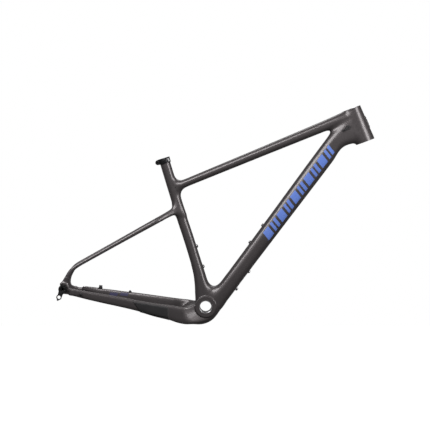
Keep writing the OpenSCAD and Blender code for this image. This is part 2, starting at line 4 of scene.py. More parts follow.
import bmesh
import bpy
import numpy as np
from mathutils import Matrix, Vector

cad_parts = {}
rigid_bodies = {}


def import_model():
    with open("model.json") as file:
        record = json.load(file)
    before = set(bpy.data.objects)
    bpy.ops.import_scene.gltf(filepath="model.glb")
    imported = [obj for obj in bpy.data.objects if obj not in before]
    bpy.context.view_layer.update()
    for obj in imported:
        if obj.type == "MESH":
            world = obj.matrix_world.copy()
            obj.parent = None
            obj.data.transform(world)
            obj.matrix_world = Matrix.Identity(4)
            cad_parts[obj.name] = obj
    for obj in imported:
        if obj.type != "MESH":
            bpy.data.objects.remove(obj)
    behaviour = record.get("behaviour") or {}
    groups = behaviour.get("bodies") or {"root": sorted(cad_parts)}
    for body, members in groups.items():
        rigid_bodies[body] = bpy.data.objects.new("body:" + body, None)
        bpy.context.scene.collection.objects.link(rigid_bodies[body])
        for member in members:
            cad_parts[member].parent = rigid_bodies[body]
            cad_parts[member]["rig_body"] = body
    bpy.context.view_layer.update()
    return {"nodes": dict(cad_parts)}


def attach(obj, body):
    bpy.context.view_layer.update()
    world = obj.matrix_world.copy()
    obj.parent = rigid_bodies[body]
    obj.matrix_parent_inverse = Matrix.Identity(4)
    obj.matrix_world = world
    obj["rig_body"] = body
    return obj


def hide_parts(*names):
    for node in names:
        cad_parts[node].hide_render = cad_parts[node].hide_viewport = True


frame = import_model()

MM = 0.001


# ---- the frame's geometry, in mm
# The same axes as the CAD model's: X forward, Y to the non-drive side, Z up.
def vec(*v):
    return np.array(v, float)


def unit(v):
    return v / np.linalg.norm(v)


def turned(degrees):
    a = math.radians(degrees)
    return math.cos(a), math.sin(a)


CHAINSTAY, BB_DROP = 430.0, 56.0
AXLE = vec(-math.sqrt(CHAINSTAY**2 - BB_DROP**2), 0, BB_DROP)
CROSS = vec(0, 1, 0)
SEAT_ANGLE = turned(73.1)
SEAT0, SEAT_DIR = vec(9.2, 0, 0), vec(-SEAT_ANGLE[0], 0, SEAT_ANGLE[1])
SEAT_FORWARD = vec(SEAT_ANGLE[1], 0, SEAT_ANGLE[0])
SEAT_LENGTH, SEAT_R, SEATPOST_R = 464.5, 15.5, 13.6
HEAD_ANGLE = turned(69.5)
HEAD_TOP, HEAD_DIR = vec(442, 0, 596), vec(HEAD_ANGLE[0], 0, -HEAD_ANGLE[1])
HEAD_FORWARD = vec(HEAD_ANGLE[1], 0, HEAD_ANGLE[0])
HEAD_LENGTH = 108.0
TOP0 = SEAT0 + SEAT_DIR * 370.6
TOP1 = HEAD_TOP + HEAD_DIR * 17.8
TOP_DIR, TOP_LENGTH = unit(TOP1 - TOP0), np.linalg.norm(TOP1 - TOP0)
TOP_UP = vec(-TOP_DIR[2], 0, TOP_DIR[0])
DOWN0 = vec(21.7, 0, 0)
DOWN1 = HEAD_TOP + HEAD_DIR * 23.4
DOWN_DIR, DOWN_LENGTH = unit(DOWN1 - DOWN0), np.linalg.norm(DOWN1 - DOWN0)
DOWN_UP = vec(-DOWN_DIR[2], 0, DOWN_DIR[0])

# Joint planes, as distances along the members
TOP_LOW, TOP_HIGH = 46.0, TOP_LENGTH - 94
DOWN_LOW, DOWN_HIGH = 110.0, DOWN_LENGTH - 147
SEAT_LOW, SEAT_HIGH, SEAT_SLEEVE = 105.0, 268.0, 431.0
YOKE_X = -38.0
INNER_CORNER = vec(363, 0, 518.5)

# Straight members: distance, half width, half depth, shift to the upper or rear side, squareness
TOP_ROWS = [
    (9, 15.5, 14.5, 0, 2.2), (20, 16.5, 13, 0, 2.3), (46, 17.5, 11.8, 0, 2.4),
    (TOP_LENGTH * 0.48, 19, 13.5, 0, 2.4), (TOP_HIGH, 21, 15.7, 0, 2.5),
    (TOP_LENGTH - 50, 21.5, 17, 0, 2.6), (TOP_LENGTH - 20, 21, 18.2, 0, 2.6),
    (TOP_LENGTH, 20, 18.6, 0, 2.6),
]
DOWN_ROWS = [
    (-25, 29, 19, 3, 3), (2, 30, 24.5, 1, 3), (60, 32, 24.6, 0, 3), (110, 32.5, 24.3, 0, 2.8),
    (174, 32, 24.5, 0, 2.7), (DOWN_LENGTH * 0.47, 31, 26, 0, 2.7),
    (DOWN_LENGTH * 0.71, 30, 27.8, 0, 2.7), (DOWN_HIGH, 29.5, 28, 0, 2.8),
    (DOWN_LENGTH - 120, 29, 26.5, 1.5, 2.8),
    (DOWN_LENGTH - 104, 28.5, 26.8, 1.2, 2.8), (DOWN_LENGTH - 90, 28, 29.2, -1.2, 2.8),
    (DOWN_LENGTH - 76, 27.5, 34.5, -6.5, 2.8), (DOWN_LENGTH - 63, 27, 41, -13, 2.8),
    (DOWN_LENGTH - 46, 26.5, 47, -19, 2.8), (DOWN_LENGTH, 21, 48, -20, 2.8),
]
SEAT_ROWS = [
    (5, 28, 30, 6, 2.8), (40, 28, 27.5, 3.2, 2.8), (72, 27, 20.3, 1.5, 2.6), (105, 25, 17.4, -1.6, 2.4),
    (145, 21.5, 15.9, -2.2, 2.3), (185, 19, 15.6, -2.0, 2.3), (225, 17, 15.6, -1.5, 2.1),
    (268, 15.5, 15.5, -0.2, 2), (320, 15.5, 15.5, 0, 2), (SEAT_LENGTH, 15.5, 15.5, 0, 2),
]
# Bent members: centre x, y, z, width, depth. The drive side has y turned round.
SEATSTAY = [
    (-76, 5, 295, 13, 44), (-84, 8, 291, 15, 34), (-98, 16, 284, 14.5, 21),
    (-115, 24.5, 274.8, 13.5, 16.4), (-132, 34, 265.3, 13, 15.6),
    (-150, 42.5, 255.3, 13, 15), (-190, 49, 233.1, 13, 14),
    (-250, 56.5, 199.8, 13, 12.4), (-320, 66, 160.8, 13, 11.4), (-365, 72.5, 135.8, 13, 10.8),
    (-382, 75, 126, 13, 11.2), (-393, 76.5, 118, 13, 12), (-402, 77.5, 108.5, 12.5, 12.8),
    (-409, 78.5, 97, 12, 13.8), (-416, 79, 83, 10, 14.6), (-421, 79, 70, 8, 20),
]
# The two chainstays share their centre x, y and width. Each then has its own centre z and depth.
CHAINSTAYS = [
    (-12, 22, 18, -17, 44, -15, 50), (-28, 28, 22, -22.5, 52, -18, 62),
    (-52, 38, 20, -27, 50.5, -15.5, 66), (-75, 42.5, 13.5, -24.3, 49, -10.5, 60.5),
    (-105, 43, 13, -16.7, 44.4, -3.5, 54), (-150, 45.5, 14, -8.4, 38.3, 6.8, 45.5),
    (-200, 51.5, 16, 3.6, 31.3, 16.5, 39), (-250, 59, 16, 15.3, 29.5, 24.2, 34.5),
    (-302, 66.5, 15, 26.2, 27.5, 32, 31), (-350, 73, 14, 36, 24, 38.2, 25),
    (-385, 78, 12.5, 44, 21.5, 42.6, 20), (-404, 79, 10, 47, 18.5, 46, 17.5),
]
DRIVE_STAY = [(x, y, z, width, depth) for x, y, width, z, depth, _, _ in CHAINSTAYS]
NONDRIVE_STAY = [(x, y, z, width, depth) for x, y, width, _, _, z, depth in CHAINSTAYS]
SEATSTAY_SQUARENESS, CHAINSTAY_SQUARENESS = 2.3, 3.0
PLACE_SPREAD = 40.0
# Places in the lists above where a bent member passes from one moulding to the next
SEATSTAY_CUTS = (4, 13)
CHAINSTAY_CUTS = (3, 10)

# How far the outlines, the sections and the solids run into one another where they meet
VALLEY_BLEND, CORNER_BLEND, CLUSTER_BLEND, BELLY_BLEND = 40.0, 20.0, 25.0, 12.0
SECTION_BLEND, HEAD_BLEND, SEATSTAY_BLEND, CHAINSTAY_BLEND = 12.0, 12.0, 15.0, 17.0

BB_BOSS_R, BB_HALF, BB_BORE = 31.0, 36.5, 20.0
BB_BODY_HALF, BB_BODY_FLARE = 31.8, 0.45
# The round belly under the bottom bracket, the line it stays below, and its section
BELLY_CENTRE, BELLY_R, BELLY_SECTION = (-16.5, 3.5), 57.3, (31.0, 20.0, 3.0)
BELLY_TOP_X, BELLY_TOP_Z = [-74, -40, -20, 20, 70], [0, 8, 14, 12, 4]
# The head tube's radius at distances from its top
HEAD_PROFILE_S = [-8, 6, 12, 68, 98, 116]
HEAD_PROFILE_R = [23.5, 23.5, 23.9, 26.6, 28.9, 29]
# The members stop under the head's top face and in front of its axis, and narrow on the way there
MEMBER_TOP_GAP, MEMBER_FRONT, MEMBER_FREE, MEMBER_NARROWING = 4.5, 13.0, 22.0, 34.0
INNER_FACE, PLATE_FACE = 74.0, 81.0
TYRE_ROOM_R, TYRE_ROOM_DEPTH, TYRE_ROOM_HALF = 374.0, 30.0, 33.0
DROPOUT = [(8, 31), (0.5, 18), (-7, 5), (-11, -4), (-6, -11), (2, -14.5), (17, -16), (32, -13),
           (34, -2), (27, -1.5), (20.5, 2), (16.5, 8), (14.5, 16), (15, 30)]
# The drive dropout's hooding rim, and the room its hanger needs
RIM_R, RIM_THICK, RIM_MIDDLE, RIM_WIDE = 15.4, 4.8, 79.5, 10.6
RIM_SECTOR = [(-3, 2), (30, -8), (40, 40), (-12, 32)]
HANGER_SWEEP = [(1, 4), (-14, 10), (-40, 0), (-40, -40), (10, -40), (10, -6)]
HANGER_SEAT_R, HANGER_BOLT_R, WASHER_SEAT_R, WASHER_SEAT_DEPTH, AXLE_HOLE_R = 13.4, 8.1, 11.4, 1.5, 6.1
PAD_TILT = turned(6)
PAD0 = vec(-350, 73.2, 53.6)
PAD_X, PAD_Z = vec(PAD_TILT[0], 0, -PAD_TILT[1]), vec(PAD_TILT[1], 0, PAD_TILT[0])
PAD_HALF_LENGTH, PAD_HALF_WIDTH, PAD_THICK = 23.0, 7.0, 10.0
BRAKE_HOLES, BRAKE_HOLE_R = (-17.0, 17.0), 5.1


def smooth_rows(rows, spread=7.0, step=2.0):
    """A member's rows every step along it, with the bends between them rounded off."""
    rows = np.array(rows, float)
    s = np.arange(rows[0, 0], rows[-1, 0] + step, step)
    reach = int(3 * spread / step)
    window = np.exp(-0.5 * (np.arange(-reach, reach + 1) * step / spread) ** 2)
    window /= window.sum()
    out = []
    for k in range(1, rows.shape[1]):
        c = np.interp(s, rows[:, 0], rows[:, k])
        before = c[0] + (c[1] - c[0]) * np.arange(-reach, 0)
        after = c[-1] + (c[-1] - c[-2]) * np.arange(1, reach + 1)
        out.append(np.convolve(np.concatenate([before, c, after]), window, "valid"))
    return s, out


def bent_line(points, side, squareness, step=6.0):
    """A smooth path through a bent member's points, with its half width and half depth."""
    p = np.array(points, float)
    p[:, 1] *= side
    knots = np.concatenate([[0], np.cumsum(np.linalg.norm(np.diff(p[:, :3], axis=0), axis=1))])
    u = np.linspace(0, knots[-1], int(knots[-1] / step) + 1)
    ext = np.vstack([2 * p[0] - p[1], p, 2 * p[-1] - p[-2]])
    ext_u = np.concatenate([[2 * knots[0] - knots[1]], knots, [2 * knots[-1] - knots[-2]]])
    k = np.clip(np.searchsorted(knots, u, "right") - 1, 0, len(p) - 2)
    t = ((u - knots[k]) / (knots[k + 1] - knots[k]))[:, None]
    a, b, c, d = ext[k], ext[k + 1], ext[k + 2], ext[k + 3]
    ua, ub, uc, ud = (ext_u[k + i][:, None] for i in range(4))
    into = (c - a) / (uc - ua) * (uc - ub)
    away = (d - b) / (ud - ub) * (uc - ub)
    curve = ((2 * t**3 - 3 * t**2 + 1) * b + (t**3 - 2 * t**2 + t) * into
             + (3 * t**2 - 2 * t**3) * c + (t**3 - t**2) * away)
    along = np.gradient(curve[:, :3], axis=0)
    along /= np.linalg.norm(along, axis=1)[:, None]
    across = CROSS - along * along[:, 1:2]
    across /= np.linalg.norm(across, axis=1)[:, None]
    return {"at": curve[:, :3], "across": across, "up": np.cross(along, across), "along": along,
            "half": np.clip(curve[:, 3:5] / 2, 2, None), "u": u, "knots": knots, "square": squareness}


def blend_min(a, b, k):
    h = np.clip(k - np.abs(a - b), 0, None) / k
    return np.minimum(a, b) - h * h * k / 4


def blend_max(a, b, k):
    return -blend_min(-a, -b, k)


def squircle(a, half_a, b, half_b, n):
    """About how far a point is outside a rounded section with these half sizes."""
    ra, rb = np.abs(a) / half_a + 1e-6, np.abs(b) / half_b + 1e-6
    f = (ra**n + rb**n) ** (1 / n)
    slope = f ** (1 - n) * np.hypot(ra ** (n - 1) / half_a, rb ** (n - 1) / half_b)
    return (f - 1) / slope


def polygon_distance(x, z, points):
    p = np.array(points, float)
    best = np.full(x.shape, 1e9)
    inside = np.zeros(x.shape, bool)
    for (x0, z0), (x1, z1) in zip(p, np.roll(p, -1, axis=0)):
        ex, ez = x1 - x0, z1 - z0
        t = np.clip(((x - x0) * ex + (z - z0) * ez) / (ex * ex + ez * ez), 0, 1)
        best = np.minimum(best, (x - x0 - t * ex) ** 2 + (z - z0 - t * ez) ** 2)
        crosses = (z0 > z) != (z1 > z)
        inside ^= crosses & (x < (z - z0) * ex / (ez if ez else 1e-9) + x0)
    return np.where(inside, -1, 1) * np.sqrt(best)


STRAIGHT = [(TOP0, TOP_DIR, smooth_rows(TOP_ROWS, 4)), (DOWN0, DOWN_DIR, smooth_rows(DOWN_ROWS)),
            (SEAT0, SEAT_DIR, smooth_rows(SEAT_ROWS, 9))]


def head_place(x, z):
    """Distance along the head tube from its top, and in front of its axis."""
    rx, rz = x - HEAD_TOP[0], z - HEAD_TOP[2]
    return rx * HEAD_DIR[0] + rz * HEAD_DIR[2], rx * HEAD_FORWARD[0] + rz * HEAD_FORWARD[2]


def planform(x, z):
    """The frame from its side: distance outside the outline, half width, edge depth, squareness."""
    same = np.ones(x.shape)
    parts = []
    head_s, ahead = head_place(x, z)
    for start, along, (rows_s, columns) in STRAIGHT:
        rx, rz = x - start[0], z - start[2]
        s = rx * along[0] + rz * along[2]
        at = np.clip(s, rows_s[0], rows_s[-1])
        wide, deep, lift, square = (np.interp(at, rows_s, c) for c in columns)
        out = np.abs(-rx * along[2] + rz * along[0] - lift) - deep
        beyond = np.abs(s - at)
        out = np.where(beyond > 0, np.hypot(np.maximum(out, 0), beyond), out)
        # nothing but the head tube itself reaches its ends or its front
        behind = np.clip(-ahead - MEMBER_FREE, 0, None)
        ends = np.maximum(MEMBER_TOP_GAP - head_s - 0.25 * behind, head_s - HEAD_LENGTH - 2 - behind)
        out = blend_max(out, np.maximum(ends, ahead - MEMBER_FRONT), 5)
        into = np.clip((ahead + MEMBER_FREE) / MEMBER_NARROWING, 0, 1)
        wide = wide * (1 - 0.5 * into * into * (3 - 2 * into))
        parts.append((out, wide, deep, square))
    belly = np.hypot(x - BELLY_CENTRE[0], z - BELLY_CENTRE[1]) - BELLY_R
    belly = blend_max(belly, z - np.interp(x, BELLY_TOP_X, BELLY_TOP_Z), 8)
    belly = blend_max(belly, BELLY_TOP_X[0] - x, 4)
    parts.append((belly, *(number * same for number in BELLY_SECTION)))
    outs = np.stack([p[0] for p in parts])
    weights = np.exp(-(outs - outs.min(0)) / SECTION_BLEND)
    weights /= weights.sum(0)
    mixed = [sum(weights[i] * parts[i][k] for i in range(len(parts))) for k in (1, 2, 3)]
    top, down, seat, belly = outs
    out = np.minimum(blend_min(down, seat, VALLEY_BLEND), blend_min(belly, down, BELLY_BLEND))
    out = np.minimum(out, blend_min(top, down, CORNER_BLEND))
    return np.minimum(out, blend_min(top, seat, CLUSTER_BLEND)), *mixed


def inflate(plan, y):
    """The outline's rounded solid: as wide as its half width in the middle, closing at its edges."""
    out, w, d, n = plan
    edge = np.clip(1 + out / d, 1e-6, None)
    ry = np.abs(y) / w + 1e-6
    f = (ry**n + edge**n) ** (1 / n)
    slope = f ** (1 - n) * np.hypot(ry ** (n - 1) / w, edge ** (n - 1) / d)
    return (f - 1) / slope


STAYS = {
    "chainstay_drive": bent_line(DRIVE_STAY, -1, CHAINSTAY_SQUARENESS),
    "chainstay_nondrive": bent_line(NONDRIVE_STAY, 1, CHAINSTAY_SQUARENESS),
    "seatstay_drive": bent_line(SEATSTAY, -1, SEATSTAY_SQUARENESS),
    "seatstay_nondrive": bent_line(SEATSTAY, 1, SEATSTAY_SQUARENESS),
}


def along_segments(p, at):
    """For each segment of a path: its number, how far along it each point is, and the gap squared."""
    for i, step in enumerate(np.diff(at, axis=0)):
        t = np.clip(((p - at[i]) @ step) / (step @ step), 0, 1)
        yield i, t, ((p - at[i] - t[:, None] * step) ** 2).sum(1)


def bent_distance(p, line):
    """Distance outside a bent member."""
    at = line["at"]
    best = np.full(len(p), 1e12)
    nearest = np.zeros(len(p))
    for i, t, gap in along_segments(p, at):
        near = gap < best
        best[near] = gap[near]
        nearest[near] = i + t[near]
    ended = (nearest <= 0) | (nearest >= len(at) - 1)
    # elsewhere the place is a local average, so that nothing jumps where the path bends
    total, weight = np.zeros(len(p)), np.full(len(p), 1e-12)
    for i, t, gap in along_segments(p, at):
        w = np.exp((best - gap) / PLACE_SPREAD)
        total += w * (i + t)
        weight += w
    place = np.where(ended, nearest, total / weight)
    i = np.clip(place.astype(int), 0, len(at) - 2)
    t = (place - i)[:, None]
    centre, across, up, half = (line[k][i] * (1 - t) + line[k][i + 1] * t
                                for k in ("at", "across", "up", "half"))
    rel = p - centre
    a, b = (rel * across).sum(1), (rel * up).sum(1)
    out = squircle(a, half[:, 0], b, half[:, 1], line["square"])
    beyond = np.sqrt(np.clip((rel**2).sum(1) - a**2 - b**2, 0, None))
    return np.where(ended & (beyond > 0.01), np.hypot(np.maximum(out, 0), beyond), out)


def near_line(p, line):
    """Points that may be within reach of a bent member."""
    x, y, z = p.T
    at = line["at"]
    side = np.sign(at[-1, 1])
    height = np.interp(x, at[::-1, 0], at[::-1, 2])
    near = (x < at[:, 0].max() + 40) & (y * side > -16) & (np.abs(z - height) < 70)
    return np.flatnonzero(near & (z > at[:, 2].min() - 45) & (z < at[:, 2].max() + 45))


def dropouts(q, out):
    """Adds the two hooded plates that hold the axle, and opens their seats."""
    a, b = q[:, 0] - AXLE[0], q[:, 2] - AXLE[2]
    y, r = np.abs(q[:, 1]), np.hypot(a, b)
    drive = q[:, 1] < 0
    flat = np.abs(y - (INNER_FACE + PLATE_FACE) / 2) - (PLATE_FACE - INNER_FACE) / 2
    body = blend_min(out, blend_max(polygon_distance(a, b, DROPOUT), flat, 2.5), 8)
    # a raised rim hoods the drive side's seat, above and in front
    rim = blend_max(np.abs(r - RIM_R) - RIM_THICK / 2, np.abs(y - RIM_MIDDLE) - RIM_WIDE / 2, 2.5)
    rim = blend_max(rim, polygon_distance(a, b, RIM_SECTOR), 3)
    body = np.where(drive, blend_min(body, rim, 9), body)
    # the inner faces are flat, beside the hub
    body = blend_max(body, INNER_FACE - y - np.clip((q[:, 0] + 400) * 0.5, 0, None), 1.2)
    seat = np.maximum(r - HANGER_SEAT_R, PLATE_FACE - y)
    tail = np.maximum(polygon_distance(a, b, HANGER_SWEEP), PLATE_FACE - y)
    washer_seat = np.maximum(r - WASHER_SEAT_R, PLATE_FACE - WASHER_SEAT_DEPTH - y)
    drive_cuts = np.minimum(np.minimum(seat, r - HANGER_BOLT_R), tail)
    cuts = np.where(drive, drive_cuts, np.minimum(washer_seat, r - AXLE_HOLE_R))
    return blend_max(body, -cuts, 0.8)


def brake_pad(q, out):
    """Adds the flat that the brake's post mount stands on, with its two holes."""
    rel = q - PAD0
    u, v, t = rel @ PAD_X, rel[:, 1], rel @ PAD_Z
    plan = blend_max(np.abs(u - 1) - PAD_HALF_LENGTH, np.abs(v) - PAD_HALF_WIDTH, 5)
    block = blend_max(plan, np.abs(t + PAD_THICK / 2) - PAD_THICK / 2, 1.5)
    holes = np.min([np.hypot(u - h, v) for h in BRAKE_HOLES], axis=0) - BRAKE_HOLE_R
    return blend_max(blend_min(out, block, 5), -holes, 0.8)


def shape(p):
    """Distance outside the moulded frame, in mm. Its open ends run on a little past their faces."""
    p = np.asarray(p, float)
    x, y, z = p.T
    out = inflate(planform(x, z), y)
    # each feature is worked out only for the points near it
    front = np.flatnonzero(x > 370)
    if len(front):
        s, ahead = head_place(x[front], z[front])
        round_head = np.hypot(ahead, y[front]) - np.interp(s, HEAD_PROFILE_S, HEAD_PROFILE_R)
        round_head = np.maximum(round_head, np.abs(s - HEAD_LENGTH / 2) - HEAD_LENGTH / 2 - 6)
        out[front] = blend_min(out[front], round_head, HEAD_BLEND)
    behind = np.flatnonzero((x < -20) & (x > -120) & (z < 60))
    if len(behind):
        # a half-round channel for the tyre
        depth = np.hypot(x[behind] - AXLE[0], z[behind] - AXLE[2]) - TYRE_ROOM_R
        channel = np.hypot(np.clip(depth + TYRE_ROOM_DEPTH, 0, None), y[behind]) - TYRE_ROOM_HALF
        out[behind] = blend_max(out[behind], -channel, 9)
    for name, line in STAYS.items():
        k = near_line(p, line)
        blend = SEATSTAY_BLEND if name.startswith("seat") else CHAINSTAY_BLEND
        if len(k):
            out[k] = blend_min(out[k], bent_distance(p[k], line), blend)
    near = np.flatnonzero((np.abs(x) < 70) & (np.abs(z) < 70))
    if len(near):
        # the round boss stands clear of everything beside it
        r, wide = np.hypot(x[near], z[near]), np.abs(y[near])
        flank = BB_BODY_HALF + BB_BODY_FLARE * np.clip(r - BB_BOSS_R, 0, None)
        body = blend_max(out[near], wide - flank, 4)
        out[near] = blend_min(body, np.maximum(r - BB_BOSS_R, wide - BB_HALF - 5), 4)
    rear = np.flatnonzero(x < -380)
    if len(rear):
        out[rear] = dropouts(p[rear], out[rear])
    pad = np.flatnonzero((x < -315) & (x > -385) & (y > 55) & (z > 15) & (z < 75))
    if len(pad):
        out[pad] = brake_pad(p[pad], out[pad])
    return out


# ---- from the distance to a mesh
# Coarse cells are this many fine ones wide, and count as near the surface within this many widths
COARSE, NEAR = 4, 2.3
FAR = 9.0


def sample_grid(field_of, low, high, cell):
    """A distance on a regular grid, worked out only near its surface."""
    n = np.ceil((high - low) / (cell * COARSE)).astype(int)
    axes = [low[k] + (np.arange(n[k]) + 0.5) * cell * COARSE for k in range(3)]
    centres = np.stack(np.meshgrid(*axes, indexing="ij"), -1).reshape(-1, 3)
    coarse = field_of(centres).reshape(n)
    field = np.where(coarse > 0, FAR, -FAR)
    for axis in range(3):
        field = np.repeat(field, COARSE, axis)
    field = np.pad(field, ((0, 1), (0, 1), (0, 1)), mode="edge").astype(np.float32)
    wanted = np.zeros(field.shape, bool)
    active = np.argwhere(np.abs(coarse) < cell * COARSE * NEAR) * COARSE
    for i, j, k in np.ndindex(COARSE + 1, COARSE + 1, COARSE + 1):
        wanted[active[:, 0] + i, active[:, 1] + j, active[:, 2] + k] = True
    index = np.argwhere(wanted)
    for part in np.array_split(index, max(1, len(index) // 300000)):
        field[tuple(part.T)] = field_of(low + part * cell)
    return field


def surface_net(field, low, cell):
    """A closed triangle mesh of the grid's zero surface."""
    inside = field < 0
    size = tuple(s - 1 for s in field.shape)
    count = np.zeros(size, np.int8)
    corners = list(np.ndindex(2, 2, 2))
    for i, j, k in corners:
        count += inside[i:i + size[0], j:j + size[1], k:k + size[2]]
    cells = np.argwhere((count > 0) & (count < 8))
    number = np.full(size, -1, np.int32)
    number[tuple(cells.T)] = np.arange(len(cells))
    total, hits = np.zeros((len(cells), 3)), np.zeros(len(cells))
    for a in corners:
        for axis in range(3):
            if a[axis]:
                continue
            b = list(a)
            b[axis] = 1
            fa = field[tuple((cells + a).T)].astype(float)
            fb = field[tuple((cells + b).T)].astype(float)
            cross = (fa < 0) != (fb < 0)
            at = np.tile(np.array(a, float), (cross.sum(), 1))
            at[:, axis] += fa[cross] / (fa[cross] - fb[cross])
            total[cross] += at
            hits[cross] += 1
    verts = low + (cells + total / hits[:, None]) * cell
    tris = []
    for axis in range(3):
        u, v = (axis + 1) % 3, (axis + 2) % 3
        first = np.moveaxis(inside, axis, 0)[:-1]
        after = np.moveaxis(inside, axis, 0)[1:]
        for flip, hit in ((False, first & ~after), (True, ~first & after)):
            e = np.argwhere(np.moveaxis(hit, 0, axis))
            e = e[(e[:, u] > 0) & (e[:, v] > 0) & (e[:, u] < size[u]) & (e[:, v] < size[v])]
            ring = []
            for du, dv in ((-1, -1), (0, -1), (0, 0), (-1, 0)):
                c = e.copy()
                c[:, u] += du
                c[:, v] += dv
                ring.append(number[tuple(c.T)])
            q = np.stack(ring[::-1] if flip else ring, 1)
            short = (np.linalg.norm(verts[q[:, 0]] - verts[q[:, 2]], axis=1)
                     <= np.linalg.norm(verts[q[:, 1]] - verts[q[:, 3]], axis=1))
            tris += [q[short][:, [0, 1, 2]], q[short][:, [0, 2, 3]]]
            tris += [q[~short][:, [0, 1, 3]], q[~short][:, [1, 2, 3]]]
    return verts, np.concatenate(tris)


def gradient(field_of, p, h=0.25):
    g = np.zeros_like(p)
    for k in range(3):
        step = np.eye(3)[k] * h
        g[:, k] = (field_of(p + step) - field_of(p - step)) / (2 * h)
    return g


def settle(field_of, verts, cell, rounds=3, longest=0.6):
    """Moves the vertices onto the true surface, by no more than part of a cell at a time."""
    for _ in range(rounds):
        g = gradient(field_of, verts)
        move = field_of(verts)[:, None] * g / np.maximum((g**2).sum(1), 0.3)[:, None]
        size = np.linalg.norm(move, axis=1)[:, None]
        verts = verts - move * np.minimum(1, longest * cell / np.maximum(size, 1e-9))
    return verts


def normals_of(field_of, verts):
    g = gradient(field_of, verts)
    return g / np.maximum(np.linalg.norm(g, axis=1), 1e-9)[:, None]


def slice_at(verts, tris, point, normal, radius, snap_reach=0.3):
    """Splits the triangles near a point along a plane, after moving the closest vertices onto it."""
    s = (verts - point) @ normal
    near = np.linalg.norm(verts - point, axis=1) < radius
    snap = near & (np.abs(s) < snap_reach)
    verts = verts.copy()
    verts[snap] -= s[snap, None] * normal
    s[snap] = 0
    ts = s[tris]
    cross = near[tris].all(1) & (ts.min(1) < 0) & (ts.max(1) > 0)
    cut, cs = tris[cross], ts[cross]
    touching = (cs == 0).any(1)
    signs = np.sign(cs)
    lone = np.argmax(signs * -np.sign(signs.sum(1))[:, None] > 0, axis=1)
    first = np.where(touching, np.argmax(cs == 0, axis=1), lone)
    cut = np.take_along_axis(cut, (first[:, None] + np.arange(3)) % 3, 1)
    plain, through = cut[~touching], cut[touching]
    ends = np.sort(np.concatenate([plain[:, [0, 1]], plain[:, [0, 2]], through[:, [1, 2]]]), axis=1)
    unique, back = np.unique(ends, axis=0, return_inverse=True)
    a, b = unique.T
    made = verts[a] + (s[a] / (s[a] - s[b]))[:, None] * (verts[b] - verts[a])
    ids = len(verts) + back.reshape(-1)
    m = len(plain)
    p, q, r = ids[:m], ids[m:2 * m], ids[2 * m:]
    new = [tris[~cross], np.stack([plain[:, 0], p, q], 1), np.stack([p, plain[:, 1], plain[:, 2]], 1),
           np.stack([p, plain[:, 2], q], 1), np.stack([through[:, 0], through[:, 1], r], 1),
           np.stack([through[:, 0], r, through[:, 2]], 1)]
    return np.vstack([verts, made]), np.concatenate(new)


def open_loops(tris):
    """The open edges of a mesh, as loops that run the way a lid's edge would."""
    edges = np.concatenate([tris[:, [0, 1]], tris[:, [1, 2]], tris[:, [2, 0]]]).tolist()
    have = set(map(tuple, edges))
    after = {b: a for a, b in have if (b, a) not in have}
    loops = []
    while after:
        at = next(iter(after))
        loop = []
        while at in after:
            loop.append(at)
            at = after.pop(at)
        loops.append(loop)
    return loops


